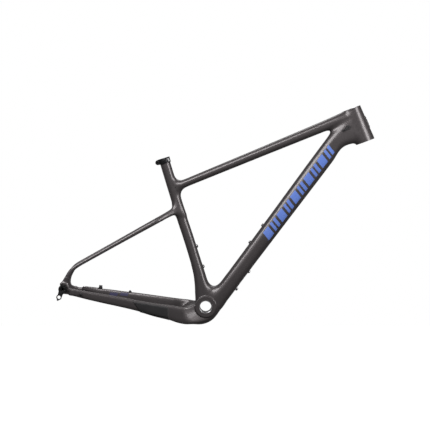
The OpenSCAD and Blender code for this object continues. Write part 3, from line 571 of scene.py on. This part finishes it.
class Surface:
    """Gathers faces with their own corner normals and makes one closed mesh of them."""

    def __init__(self):
        self.corners, self.normals = [], []

    def add(self, points, tris, normals, turn=True):
        """Adds triangles. The normals, one for each point or one for all, say which way they face."""
        normals = np.broadcast_to(normals, points.shape)
        tris = np.array(tris)
        if turn:
            a, b, c = (points[tris[:, k]] for k in range(3))
            back = (np.cross(b - a, c - a) * normals[tris].sum(1)).sum(1) < 0
            tris[back] = tris[back][:, ::-1]
        self.corners.append(points[tris])
        self.normals.append(normals[tris])

    def strip(self, a, b, normals_a, normals_b):
        """Joins two rows of as many points."""
        n = len(a)
        i = np.arange(n - 1)
        tris = np.concatenate([np.stack([i, i + 1, n + i + 1], 1), np.stack([i, n + i + 1, n + i], 1)])
        normals = [np.broadcast_to(normals_a, a.shape), np.broadcast_to(normals_b, b.shape)]
        self.add(np.concatenate([a, b]), tris, np.concatenate(normals))

    def fan(self, ring, normal):
        i = np.arange(len(ring))
        tris = np.stack([i, (i + 1) % len(ring), np.full(len(ring), len(ring))], 1)
        self.add(np.vstack([ring, ring.mean(0)]), tris, normal)

    def join(self, rings, normals, centre, axis):
        """Fills between two closed rings that go round an axis, whatever their spacing."""
        e1 = unit(np.cross(axis, vec(0.3, 0.9, 0.2)))
        e2 = np.cross(axis, e1)
        orders, angles = [], []
        for ring in rings:
            angle = np.arctan2((ring - centre) @ e2, (ring - centre) @ e1)
            order = np.argsort(angle)
            orders.append(order)
            angles.append(np.append(angle[order], angle[order][0] + 2 * np.pi))
        n = [len(ring) for ring in rings]
        i = j = 0
        tris = []
        while i < n[0] or j < n[1]:
            a, b = orders[0][i % n[0]], n[0] + orders[1][j % n[1]]
            if j >= n[1] or (i < n[0] and angles[0][i + 1] <= angles[1][j + 1]):
                i += 1
                tris.append((a, orders[0][i % n[0]], b))
            else:
                j += 1
                tris.append((a, n[0] + orders[1][j % n[1]], b))
        normals = [np.broadcast_to(normal, ring.shape) for normal, ring in zip(normals, rings)]
        self.add(np.concatenate(rings), tris, np.concatenate(normals))

    def lathe(self, profile, origin, axis, steps=96):
        """Turns a profile of (distance, radius) round an axis. Going along the axis it faces inward."""
        for (s0, r0), (s1, r1) in zip(profile, profile[1:]):
            slope = unit(vec(s1 - s0, r1 - r0, 0))
            a, out = circle(origin + axis * s0, axis, r0, steps)
            b, _ = circle(origin + axis * s1, axis, r1, steps)
            normals = axis * slope[1] - out * slope[0]
            self.strip(a, b, normals, normals)

    def finish(self, name):
        corners = np.concatenate(self.corners).reshape(-1, 3)
        normals = np.concatenate(self.normals).reshape(-1, 3)
        rounded = np.round(corners, 3)
        _, first, back = np.unique(rounded, axis=0, return_index=True, return_inverse=True)
        tris = back.reshape(-1, 3)
        whole = (tris[:, 0] != tris[:, 1]) & (tris[:, 1] != tris[:, 2]) & (tris[:, 0] != tris[:, 2])
        keep = np.repeat(whole, 3)
        obj = mesh_object(name, rounded[first], tris[whole])
        obj.data.normals_split_custom_set(normals[keep].tolist())
        return obj


def circle(centre, axis, r, steps=96):
    """Points round an axis, the last the same as the first, and their outward directions."""
    e1 = unit(np.cross(axis, vec(0.31, 0.87, 0.23)))
    e2 = np.cross(axis, e1)
    angle = np.arange(steps + 1) * 2 * np.pi / steps
    angle[-1] = 0.0
    out = np.cos(angle)[:, None] * e1 + np.sin(angle)[:, None] * e2
    return centre + r * out, out


def new_object(name, data):
    obj = bpy.data.objects.new(name, data)
    bpy.context.scene.collection.objects.link(obj)
    return obj


def mesh_object(name, verts, faces):
    mesh = bpy.data.meshes.new(name)
    mesh.from_pydata((np.asarray(verts) * MM).tolist(), [], [list(map(int, f)) for f in faces])
    mesh.polygons.foreach_set("use_smooth", [True] * len(mesh.polygons))
    mesh.update()
    return new_object(name, mesh)


# ---- the thirteen mouldings
def stay_plane(line, knot):
    u = line["knots"][knot]
    at = np.array([np.interp(u, line["u"], line["at"][:, k]) for k in range(3)])
    return at, unit(np.array([np.interp(u, line["u"], line["along"][:, k]) for k in range(3)]))


def straight_plane(start, along, distance, reach):
    return start + along * distance, along, reach


# Each plane's point, direction, and how far from the point it cuts
CUTS = {
    "top_low": straight_plane(TOP0, TOP_DIR, TOP_LOW, 40),
    "top_high": straight_plane(TOP0, TOP_DIR, TOP_HIGH, 27.5),
    "down_low": straight_plane(DOWN0, DOWN_DIR, DOWN_LOW, 52),
    "down_high": straight_plane(DOWN0, DOWN_DIR, DOWN_HIGH, 47),
    "seat_low": straight_plane(SEAT0, SEAT_DIR, SEAT_LOW, 42),
    "seat_high": straight_plane(SEAT0, SEAT_DIR, SEAT_HIGH, 32),
    "yoke": (vec(YOKE_X, 0, -20), vec(1, 0, 0), 80),
    "seat_end": straight_plane(SEAT0, SEAT_DIR, SEAT_SLEEVE, 24),
    "head_top": straight_plane(HEAD_TOP, HEAD_DIR, 0, 60),
    "head_bottom": straight_plane(HEAD_TOP, HEAD_DIR, HEAD_LENGTH, 40),
    "shell_drive": (CROSS * (1 - BB_HALF), CROSS, 34),
    "shell_nondrive": (CROSS * (BB_HALF - 1), CROSS, 34),
}
for stay_name, stay_line in STAYS.items():
    for end, knot in zip("ab", SEATSTAY_CUTS if stay_name.startswith("seat") else CHAINSTAY_CUTS):
        CUTS[f"{stay_name}_{end}"] = (*stay_plane(stay_line, knot), 42 if end == "a" else 30)


def past(c, name):
    point, normal, _ = CUTS[name]
    return (c - point) @ normal > 0


def name_pieces(c):
    """Which moulding each point belongs to, or nothing where it is past an open end."""
    x, y, z = c.T
    label = np.full(len(c), "bottom_bracket_shell", dtype=object)
    seat_s, seat_off = (c - SEAT0) @ SEAT_DIR, np.abs((c - SEAT0) @ SEAT_FORWARD)
    top_off, down_off = np.abs((c - TOP0) @ TOP_UP), np.abs((c - DOWN0) @ DOWN_UP)
    label[(seat_off < 40) & past(c, "seat_low") & (z > 70)] = "seat_tube"
    label[(down_off < 55) & past(c, "down_low") & (x > 60)] = "down_tube"
    label[past(c, "seat_high") & (z > 225) & (x < 0)] = "seat_cluster"
    label[past(c, "top_low") & (x > -70) & (z > 330) & (top_off < 31)] = "top_tube"
    top_side = z > INNER_CORNER[2] + (x - INNER_CORNER[0]) * 0.775
    head = np.where(top_side, past(c, "top_high"), past(c, "down_high"))
    label[head & (x > 330)] = "head_tube"
    label[(x < YOKE_X) & (z < 70)] = "chainstay_yoke"
    for side, word in ((-1, "drive"), (1, "nondrive")):
        mine = y * side > 0
        chain, seat = f"chainstay_{word}", f"seatstay_{word}"
        label[mine & (x < -60) & (z < 75) & past(c, chain + "_a")] = chain
        label[mine & (x < -100) & (z > 60) & (z < 300) & (seat_s < 330) & past(c, seat + "_a")] = seat
        end_low = mine & (x < -370) & (z < 72) & past(c, chain + "_b")
        end_high = mine & (x < -395) & (z >= 60) & past(c, seat + "_b")
        label[end_low | end_high] = f"dropout_{word}"
    label[(seat_s > SEAT_SLEEVE) & (x < -95) & (z > 380)] = ""
    label[(x > 385) & ~past(c, "head_top")] = ""
    label[(x > 440) & past(c, "head_bottom")] = ""
    label[(np.abs(y) > BB_HALF - 1) & (np.hypot(x, z) < 34)] = ""
    return label


# Profiles: distance along the axis, radius. The head's seats for its two bearings are at its ends.
HEAD_BORE = [(0, 22.6), (0.6, 22), (9, 22), (9, 18), (99, 18), (99, 27.3), (107.5, 27.3),
             (HEAD_LENGTH, 27.8)]
SHELL_END = [(0.9, BB_BOSS_R), (0.4, BB_BOSS_R - 0.2), (0.12, BB_BOSS_R - 0.6), (0, BB_BOSS_R - 1.1),
             (0, 20.5), (0.5, BB_BORE)]


def lid(skin, ring):
    facing = np.cross(ring - ring.mean(0), np.roll(ring, -1, axis=0) - ring.mean(0)).sum(0)
    skin.fan(ring, unit(facing))


def is_round(ring, at, axis):
    """Whether a ring is the cut round an open end, rather than one at a joint."""
    return np.abs((ring - at) @ axis).max() < 0.01 and np.linalg.norm(ring.mean(0) - at) < 15


def head_ends(skin, loops):
    """The head tube's stepped bore and its two flat ends."""
    skin.lathe(HEAD_BORE, HEAD_TOP, HEAD_DIR)
    for ring in loops:
        mouths = [(HEAD_TOP + HEAD_DIR * s, r) for s, r in (HEAD_BORE[0], HEAD_BORE[-1])]
        mouths = [(at, r) for at, r in mouths if is_round(ring, at, HEAD_DIR)]
        for at, r in mouths:
            inner, _ = circle(at, HEAD_DIR, r)
            facing = unit(at - HEAD_TOP - HEAD_DIR * HEAD_LENGTH / 2)
            skin.join((ring, inner[:-1]), (facing, facing), at, HEAD_DIR)
        if not mouths:
            lid(skin, ring)


def shell_ends(skin, loops):
    """The bottom bracket's bore, and its round faces with their edges eased."""
    start, width = vec(0, -BB_HALF, 0), 2 * BB_HALF
    skin.lathe(SHELL_END + [(width - s, r) for s, r in reversed(SHELL_END)], start, CROSS)
    for ring in loops:
        ends = [side for side in (-1, 1) if is_round(ring, side * (BB_HALF - 1) * CROSS, CROSS)]
        for side in ends:
            inner, out = circle(side * (BB_HALF - SHELL_END[0][0]) * CROSS, CROSS, BB_BOSS_R)
            radial = ring - ring[:, 1:2] * CROSS
            radial /= np.linalg.norm(radial, axis=1)[:, None]
            skin.join((ring, inner[:-1]), (radial, out[:-1]), ring.mean(0), CROSS)
        if not ends:
            lid(skin, ring)


def seat_sleeve(skin, loops):
    """The seat tube's top, with its bore and the slot that lets the clamp close it."""
    slot_low, slot_half, chamfer, floor, steps = SEAT_LENGTH - 26, 1.3, 0.4, 285.0, 73
    half = math.asin(slot_half / SEAT_R)
    wall_angles = np.linspace(-math.pi + half, math.pi - half, steps)
    angles = np.concatenate([wall_angles, [math.pi, math.pi + half]])
    out = np.cos(angles)[:, None] * SEAT_FORWARD + np.sin(angles)[:, None] * CROSS
    out[-1] = out[0]
    wall = out[:steps]

    def row(s, r, rows):
        return SEAT0 + SEAT_DIR * s + r * rows

    cut = SEAT0 + SEAT_DIR * SEAT_SLEEVE
    base = SEAT_SLEEVE + 1.5
    for ring in loops:
        if is_round(ring, cut, SEAT_DIR):
            radial = (ring - cut) / np.linalg.norm(ring - cut, axis=1)[:, None]
            skin.join((ring, row(base, SEAT_R, out[:-1])), (radial, out[:-1]), cut, SEAT_DIR)
        else:
            lid(skin, ring)
    # below the slot the wall goes all the way round
    skin.strip(row(base, SEAT_R, out), row(slot_low, SEAT_R, out), out, out)
    skin.strip(row(slot_low, SEATPOST_R, out), row(floor, SEATPOST_R, out), -out, -out)
    skin.fan(row(floor, SEATPOST_R, out[:-1])[::-1], SEAT_DIR)
    # beside the slot it is open at the back, and its top edge is broken
    profile = [(slot_low, SEAT_R), (SEAT_LENGTH - chamfer, SEAT_R), (SEAT_LENGTH, SEAT_R - chamfer),
               (SEAT_LENGTH, SEATPOST_R), (slot_low, SEATPOST_R)]
    rims = [row(s, r, wall) for s, r in profile]
    facings = [wall, (wall + SEAT_DIR) / math.sqrt(2), SEAT_DIR, -wall]
    for lower, upper, facing in zip(rims, rims[1:], facings):
        skin.strip(lower, upper, facing, facing)
    # the slot's two sides and its floor
    for edge, side in ((0, 1), (steps - 1, -1)):
        skin.add(np.array([rim[edge] for rim in rims]), [(0, 1, 2), (0, 2, 3), (0, 3, 4)], side * CROSS)
    gap = out[steps - 1:]
    skin.strip(row(slot_low, SEAT_R, gap), row(slot_low, SEATPOST_R, gap), SEAT_DIR, SEAT_DIR)


ENDS = {"head_tube": head_ends, "bottom_bracket_shell": shell_ends, "seat_cluster": seat_sleeve}


def mouldings():
    cell = 1.9
    low, high = vec(-446, -92, -62), vec(514, 92, 620)
    verts, tris = surface_net(sample_grid(shape, low, high, cell), low, cell)
    verts = settle(shape, verts, cell)
    for point, normal, radius in CUTS.values():
        verts, tris = slice_at(verts, tris, point, normal, radius)
    normals = normals_of(shape, verts)
    labels = name_pieces(verts[tris].mean(1))
    made = {}
    for name in sorted(set(labels) - {""}):
        mine = tris[labels == name]
        skin = Surface()
        skin.add(verts, mine, normals, turn=False)
        loops = [verts[loop] for loop in open_loops(mine)]
        if name in ENDS:
            ENDS[name](skin, loops)
        else:
            for ring in loops:
                lid(skin, ring)
        made[name] = skin.finish(name + "_skin")
    return made


def worn_edges(name, width=0.35):
    """A CAD node's shape with its sharp edges broken, named after the node."""
    node = frame["nodes"][name]
    mesh = node.data.copy()
    bm = bmesh.new()
    bm.from_mesh(mesh)
    bmesh.ops.remove_doubles(bm, verts=bm.verts, dist=2e-6)
    bmesh.ops.dissolve_limit(bm, angle_limit=math.radians(1.5), verts=bm.verts, edges=bm.edges)
    bm.to_mesh(mesh)
    bm.free()
    mesh.materials.clear()
    source = new_object(name + "_source", mesh)
    bevel = source.modifiers.new("edges", "BEVEL")
    bevel.width, bevel.segments = width * MM, 2
    bevel.limit_method, bevel.angle_limit = "ANGLE", math.radians(36)
    bevel.harden_normals = True
    mesh.polygons.foreach_set("use_smooth", [True] * len(mesh.polygons))
    final = bpy.data.meshes.new_from_object(source.evaluated_get(bpy.context.evaluated_depsgraph_get()))
    bpy.data.objects.remove(source)
    return new_object(name + "_piece", final)


def hand_over(piece, node, material):
    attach(piece, frame["nodes"][node]["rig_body"])
    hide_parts(node)
    piece.data.materials.clear()
    piece.data.materials.append(material)


def thread_sleeve():
    """The shell's threaded sleeve: fine grooves inside both ends, and a broad lead-in."""
    width, crest, root, pitch, turns = 2 * BB_HALF, 17.0, 17.5, 1.06, 14
    bore = [(0.0, 19.3), (2.2, crest)]
    for i in range(turns):
        bore += [(2.6 + pitch * i, crest), (2.6 + pitch * (i + 0.5), root)]
    bore += [(2.6 + pitch * turns, crest), (20, 17.4)]
    profile = bore + [(width - s, r) for s, r in reversed(bore)]
    profile += [(width, 19.7), (width - 0.3, BB_BORE), (0.3, BB_BORE), (0, 19.7), (0, 19.3)]
    sleeve = Surface()
    sleeve.lathe(profile, vec(0, -BB_HALF, 0), CROSS, 72)
    return sleeve.finish("bb_thread_sleeve_piece")


GUARD_OUTLINE = [(-219, 19), (-111, 1.5), (-108, -40), (-190, -24)]
GUARD_PANEL = [(-213.5, 15), (-114.6, -2.2), (-113, -31.4), (-196, -15.1)]


def guard_field(p):
    """The soft guard: a thin skin on the drive chainstay, with a thicker panel inside its border."""
    x, z = p[:, 0], p[:, 2]
    thick = 0.9 + 1.3 * np.clip(0.5 - polygon_distance(x, z, GUARD_PANEL) / 1.6, 0, 1)
    stay = shape(p)
    body = blend_max(stay - thick, polygon_distance(x, z, GUARD_OUTLINE), 1.2)
    return np.maximum(np.maximum(body, -stay - 2.0), p[:, 1] + 44.5)


def guard():
    cell = 1.1
    low, high = vec(-224, -74, -44), vec(-102, -40, 24)
    verts, tris = surface_net(sample_grid(guard_field, low, high, cell), low, cell)
    verts = settle(guard_field, verts, cell)
    surface = Surface()
    surface.add(verts, tris, normals_of(guard_field, verts), turn=False)
    piece = surface.finish("chainstay_guard_piece")
    middles = np.array([p.center for p in piece.data.polygons]) / MM
    raised = polygon_distance(middles[:, 0], middles[:, 2], GUARD_PANEL) < 0.6
    return piece, raised


def outside(x, z, side, reach):
    """Where a line straight in from one side meets the frame's skin."""
    far, near = np.full(len(x), reach[1], float), np.full(len(x), reach[0], float)
    for _ in range(22):
        mid = (far + near) / 2
        outer = shape(np.stack([x, side * mid, z], 1)) > 0
        far, near = np.where(outer, mid, far), np.where(outer, near, mid)
    return np.stack([x, side * near, z], 1)


def patch(surface, place, corners, steps, lift=0.15, sink=0.1):
    """A closed thin shape on a surface. place gives points and normals for flat coordinates."""
    u, v = (np.linspace(0, 1, n) for n in steps)
    c = np.array(corners, float)
    grid = ((1 - u)[:, None, None] * ((1 - v)[:, None] * c[0] + v[:, None] * c[3])
            + u[:, None, None] * ((1 - v)[:, None] * c[1] + v[:, None] * c[2]))
    flat = grid.reshape(-1, 2)
    on, normals = place(flat[:, 0], flat[:, 1])
    index = np.arange(len(flat)).reshape(steps)
    a, b = index[:-1, :-1].ravel(), index[1:, :-1].ravel()
    d, e = index[1:, 1:].ravel(), index[:-1, 1:].ravel()
    tris = np.concatenate([np.stack([a, b, d], 1), np.stack([a, d, e], 1)])
    top, bottom = on + lift * normals, on - sink * normals
    surface.add(top, tris, normals)
    surface.add(bottom, tris, -normals)
    middle = on.mean(0)
    for edge in (index[:, 0], index[-1], index[:, -1], index[0]):
        across = unit(np.cross(on[edge[-1]] - on[edge[0]], normals[edge[0]]))
        across = across * np.sign(across @ (on[edge].mean(0) - middle))
        surface.strip(top[edge], bottom[edge], across, across)


def on_side(side, reach):
    """Places flat x, z coordinates on the skin, seen from one side, between two widths."""
    def place(x, z):
        on = outside(x, z, side, reach)
        return on, normals_of(shape, on)
    return place


def on_barrel(start, along, forward, radius, turn):
    """Places coordinates on a round tube: degrees round it from one side, and distance along it."""
    def place(degrees, s):
        angle = np.radians(degrees) + turn
        out = np.cos(angle)[:, None] * -CROSS + np.sin(angle)[:, None] * forward
        return start + s[:, None] * along + out * radius(s)[:, None], out
    return place


def down_tube_print(side):
    """Ten slanted bars along the down tube, every other one split: a pattern with no meaning."""
    surface = Surface()
    first, pitch, wide, low, high, slant = 264.0, 33.7, 25.5, -15.5, 12.5, 7.0

    def at(s, across):
        place = DOWN0 + DOWN_DIR * s + DOWN_UP * across
        return place[0], place[2]

    for i in range(10):
        s0 = first + pitch * i
        whole, split = [(s0, s0 + wide)], [(s0, s0 + wide * 0.36), (s0 + wide * 0.6, s0 + wide)]
        bars = split if i % 2 else whole
        for a, b in bars:
            corners = [at(a - slant / 2, low), at(b - slant / 2, low)]
            corners += [at(b + slant / 2, high), at(a + slant / 2, high)]
            patch(surface, on_side(side, (2, 60)), corners, (7, 9))
    return surface.finish("down_tube_print_" + ("drive" if side < 0 else "nondrive"))


def chainstay_print():
    """Two faint slanted bars on the far chainstay's inner face."""
    surface = Surface()
    for first in (-293, -261):
        corners = [(first, 29), (first + 24, 27), (first + 29, 36.5), (first + 5, 38)]
        patch(surface, on_side(1, (60, 30)), corners, (9, 5))
    return surface.finish("chainstay_print")


def clamp_painted_highlight():
    """Two short pale bars on the seat clamp, beside its front: a painted highlight where the clamp's front
    catches the light.
    """
    surface = Surface()
    place = on_barrel(SEAT0, SEAT_DIR, SEAT_FORWARD, lambda s: np.full(s.shape, 17.8), 0.0)
    patch(surface, place, [(40, 452), (47, 452), (47, 462), (40, 462)], (5, 3))
    patch(surface, place, [(54, 452), (60, 452), (60, 462), (54, 462)], (5, 3))
    return surface.finish("seat_clamp_painted_highlight")


def badge_emblem():
    """A plain raised rhombus on the head badge."""
    surface = Surface()

    def radius(s):
        return np.interp(s, HEAD_PROFILE_S, HEAD_PROFILE_R) + 1.4

    place = on_barrel(HEAD_TOP, HEAD_DIR, HEAD_FORWARD, radius, math.pi / 2)
    patch(surface, place, [(0, 45), (12, 54), (0, 63), (-12, 54)], (9, 9), 0.7, 0.5)
    return surface.finish("badge_emblem")


# ---- materials
def set_sockets(node, numbers):
    for socket, number in numbers.items():
        node.inputs[socket].default_value = number


def add_node(tree, kind, sources, **numbers):
    """A shader node with some inputs linked and, by name, some set."""
    node = tree.nodes.new("ShaderNode" + kind)
    set_sockets(node, {name.replace("_", " "): number for name, number in numbers.items()})
    for socket, source in sources.items():
        tree.links.new(source, node.inputs[socket])
    return node


def noise(tree, where, scale, detail, roughness=0.5):
    node = add_node(tree, "TexNoise", {"Vector": where}, Scale=scale, Detail=detail, Roughness=roughness)
    return node.outputs["Fac"]


def spread(tree, value, low, high, from_low=0.3, from_high=0.7):
    """Stretches a texture's values to a range."""
    node = add_node(tree, "MapRange", {"Value": value}, From_Min=from_low, From_Max=from_high,
                    To_Min=low, To_Max=high)
    return node.outputs["Result"]


def surface_material(name, low, high, patch_scale, rough, fine_scale, fine_strength, sockets):
    """Patchy colour and roughness, with a fine bump, over plain shader numbers."""
    material = bpy.data.materials.new(name)
    material.use_nodes = True
    tree = material.node_tree
    shader = tree.nodes["Principled BSDF"]
    set_sockets(shader, sockets)
    where = tree.nodes.new("ShaderNodeTexCoord").outputs["Object"]
    patches = spread(tree, noise(tree, where, patch_scale, 4.0), 0, 1)
    ramp = add_node(tree, "ValToRGB", {"Fac": patches})
    for element, colour in zip(ramp.color_ramp.elements, (low, high)):
        element.color = (*colour, 1)
    tree.links.new(ramp.outputs["Color"], shader.inputs["Base Color"])
    fine = noise(tree, where, fine_scale, 3.0, 0.6)
    tree.links.new(spread(tree, fine, *rough), shader.inputs["Roughness"])
    grain = add_node(tree, "Bump", {"Height": fine}, Strength=fine_strength, Distance=0.0002)
    tree.links.new(grain.outputs["Normal"], shader.inputs["Normal"])
    return material, tree, shader, where


def paint_material(name, low, high, rough, flake, coat):
    """Dark metallic paint over carbon: fine bright flakes, a soft orange peel, a thin clear coat."""
    sockets = {"Metallic": 0.55, "Coat Weight": coat, "Coat Roughness": 0.16, "IOR": 1.5}
    material, tree, shader, where = surface_material(name, low, high, 7.0, rough, 420.0, 0.05, sockets)
    flakes = add_node(tree, "TexVoronoi", {"Vector": where}, Scale=2400.0)
    split = add_node(tree, "SeparateColor", {"Color": flakes.outputs["Color"]})
    mix = tree.nodes.new("ShaderNodeMix")
    mix.data_type, mix.blend_type = "RGBA", "ADD"
    tree.links.new(spread(tree, split.outputs["Red"], 0, flake, 0.55, 1.0), mix.inputs["Factor"])
    tree.links.new(shader.inputs["Base Color"].links[0].from_socket, mix.inputs["A"])
    mix.inputs["B"].default_value = (1.0, 0.96, 0.97, 1)
    tree.links.new(mix.outputs["Result"], shader.inputs["Base Color"])
    return material


def streaked(name, low, high, rough, closeness):
    """Machined or brushed metal: its marks are much longer one way than the others."""
    material, tree, shader, where = surface_material(name, low, high, 60.0, rough, 900.0, 0.08,
                                                     {"Metallic": 1.0})
    stretch = add_node(tree, "Mapping", {"Vector": where}, Scale=closeness)
    marks = noise(tree, stretch.outputs["Vector"], 1.0, 3.0, 0.6)
    grain = shader.inputs["Normal"].links[0].from_socket
    scratches = add_node(tree, "Bump", {"Height": marks, "Normal": grain}, Strength=0.25, Distance=0.00015)
    tree.links.new(scratches.outputs["Normal"], shader.inputs["Normal"])
    return material


# Dark and light colour, patch scale, roughness, fine scale, fine bump, shader numbers
PLAIN_LOOKS = {
    "black_alloy": ((0.012, 0.012, 0.013), (0.020, 0.020, 0.021), 45.0, (0.34, 0.46), 1400.0, 0.12,
                    {"Metallic": 0.75, "Specular IOR Level": 0.6}),
    "badge_alloy": ((0.10, 0.098, 0.097), (0.14, 0.136, 0.134), 60.0, (0.30, 0.42), 1500.0, 0.1,
                    {"Metallic": 0.85}),
    "black_steel": ((0.016, 0.016, 0.017), (0.028, 0.027, 0.027), 90.0, (0.28, 0.40), 1800.0, 0.1,
                    {"Metallic": 0.8}),
    "soft_rubber": ((0.008, 0.008, 0.009), (0.014, 0.013, 0.014), 30.0, (0.6, 0.72), 2600.0, 0.3,
                    {"Specular IOR Level": 0.35}),
    "border_rubber": ((0.024, 0.022, 0.023), (0.034, 0.031, 0.032), 30.0, (0.5, 0.6), 2600.0, 0.25,
                      {"Specular IOR Level": 0.4}),
    "blue_print": ((0.082, 0.145, 0.43), (0.10, 0.172, 0.48), 12.0, (0.40, 0.5), 700.0, 0.05,
                   {"Specular IOR Level": 0.3}),
    "lilac_print": ((0.036, 0.034, 0.072), (0.048, 0.046, 0.098), 12.0, (0.45, 0.55), 700.0, 0.05,
                    {"Specular IOR Level": 0.3}),
    # painted highlight: the pale colour of the bars on the seat clamp's front stands in for the light they
    # catch
    "pale_painted_highlight": ((0.5, 0.5, 0.5), (0.6, 0.6, 0.6), 40.0, (0.45, 0.55), 700.0, 0.05,
                   {"Specular IOR Level": 0.3}),
}
# Dark and light colour, roughness, and how closely the marks are set along each axis
METAL_LOOKS = {
    "bare_alloy": ((0.55, 0.54, 0.55), (0.66, 0.65, 0.66), (0.26, 0.36), (160.0, 2600.0, 160.0)),
    "steel": ((0.42, 0.42, 0.43), (0.52, 0.52, 0.53), (0.22, 0.32), (1800.0, 220.0, 1800.0)),
}
look = {name: surface_material(name + "_look", *numbers)[0] for name, numbers in PLAIN_LOOKS.items()}
look.update({name: streaked(name + "_look", *numbers) for name, numbers in METAL_LOOKS.items()})
look["carbon_paint"] = paint_material("carbon_paint_look", (0.053, 0.0465, 0.048),
                                      (0.065, 0.057, 0.0585), (0.38, 0.46), 0.02, 0.3)


# ---- every piece
for node, skin in mouldings().items():
    slot = "carbon_matte" if node.startswith("dropout") else "carbon_paint"
    hand_over(skin, node, look["carbon_paint"])

# Each slot's broken edges, in mm, and its fittings
HARDWARE = {
    "black_alloy": (0.4, ["seat_clamp_collar", "derailleur_hanger", "hanger_bolt", "thru_axle"]),
    "bare_alloy": (0.25, ["upper_bearing_seat", "lower_bearing_seat", "brake_mount_sleeves",
                          "axle_washer", "badge_rivets", "down_tube_inserts", "seat_tube_inserts",
                          "under_tube_inserts"]),
    "steel": (0.25, ["seat_clamp_barrel", "hanger_washer"]),
    "black_steel": (0.25, ["seat_clamp_bolt", "port_screws", "down_tube_bolts", "seat_tube_bolts",
                           "under_tube_bolts"]),
    "soft_rubber": (0.35, ["cable_port_drive", "cable_port_nondrive", "brake_hose_clip",
                           "brake_hose_grommet", "shift_housing_grommet"]),
}
for slot, (width, nodes) in HARDWARE.items():
    for node in nodes:
        hand_over(worn_edges(node, width), node, look[slot])
hand_over(worn_edges("head_badge", 0.3), "head_badge", look["badge_alloy"])
hand_over(thread_sleeve(), "bb_thread_sleeve", look["bare_alloy"])
guard_piece, raised = guard()
hand_over(guard_piece, "chainstay_guard", look["border_rubber"])
guard_piece.data.materials.append(look["soft_rubber"])
guard_piece.data.polygons.foreach_set("material_index", raised.astype(np.int32))


def trim(piece, body, material):
    """A small mark that belongs to a piece already there: a print, a raised shape, or a painted highlight.
    """
    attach(piece, body)
    piece.data.materials.append(material)


for side in (-1, 1):
    trim(down_tube_print(side), "frame", look["blue_print"])
trim(chainstay_print(), "frame", look["lilac_print"])
# the pale bars on the seat clamp are a painted highlight
trim(clamp_painted_highlight(), "clamp", look["pale_painted_highlight"])
trim(badge_emblem(), "frame", look["bare_alloy"])


# ---- camera, light and floor
def point_at(obj, at, target):
    obj.location = at
    obj.rotation_mode = "QUATERNION"
    obj.rotation_quaternion = (Vector(target) - Vector(at)).to_track_quat("-Z", "Y")


camera = new_object("camera", bpy.data.cameras.new("camera"))
point_at(camera, (0.0281, -9.0, 0.596), (0.0281, 0, 0.2743))
camera.data.angle = math.radians(8.21)
camera.data.clip_end = 60
bpy.context.scene.camera = camera


def softbox(name, at, size, power, aim=(0.03, 0, 0.3)):
    light = bpy.data.lights.new(name, "AREA")
    light.shape = "RECTANGLE"
    light.size, light.size_y = size
    light.energy = power
    point_at(new_object(name, light), at, aim)


softbox("key", (-0.8, -1.1, 1.4), (1.8, 0.7), 44, (0.0, 0, 0.4))
softbox("side", (1.7, -1.3, 1.15), (0.9, 1.3), 42, (0.4, 0, 0.5))
softbox("rear", (0.4, 1.7, 2.4), (2.4, 1.0), 25)

FLOOR, FLOOR_X, FLOOR_Y = -318.0, 4000.0, 3500.0
corners = [(x * FLOOR_X, y * FLOOR_Y, FLOOR) for x, y in ((-1, -1), (1, -1), (1, 1), (-1, 1))]
floor = mesh_object("floor", corners, [(0, 1, 2, 3)])
pale = bpy.data.materials.new("floor_look")
pale.use_nodes = True
shader = pale.node_tree.nodes["Principled BSDF"]
set_sockets(shader, {"Base Color": (0.9, 0.9, 0.9, 1), "Roughness": 0.9, "Specular IOR Level": 0.0,
                     "Emission Color": (1, 1, 1, 1), "Emission Strength": 0.9})
floor.data.materials.append(pale)
floor.visible_diffuse = False
floor.visible_glossy = False

# The room is white to look at and dim as a light
world = bpy.data.worlds.new("world")
bpy.context.scene.world = world
world.use_nodes = True
tree = world.node_tree
room = tree.nodes["Background"]
set_sockets(room, {"Color": (1.0, 0.98, 0.98, 1), "Strength": 0.12})
seen = add_node(tree, "Background", {}, Color=(1, 1, 1, 1))
mix = tree.nodes.new("ShaderNodeMixShader")
tree.links.new(tree.nodes.new("ShaderNodeLightPath").outputs["Is Camera Ray"], mix.inputs["Fac"])
tree.links.new(room.outputs["Background"], mix.inputs[1])
tree.links.new(seen.outputs["Background"], mix.inputs[2])
tree.links.new(mix.outputs["Shader"], tree.nodes["World Output"].inputs["Surface"])
bpy.context.scene.view_settings.view_transform = "Standard"
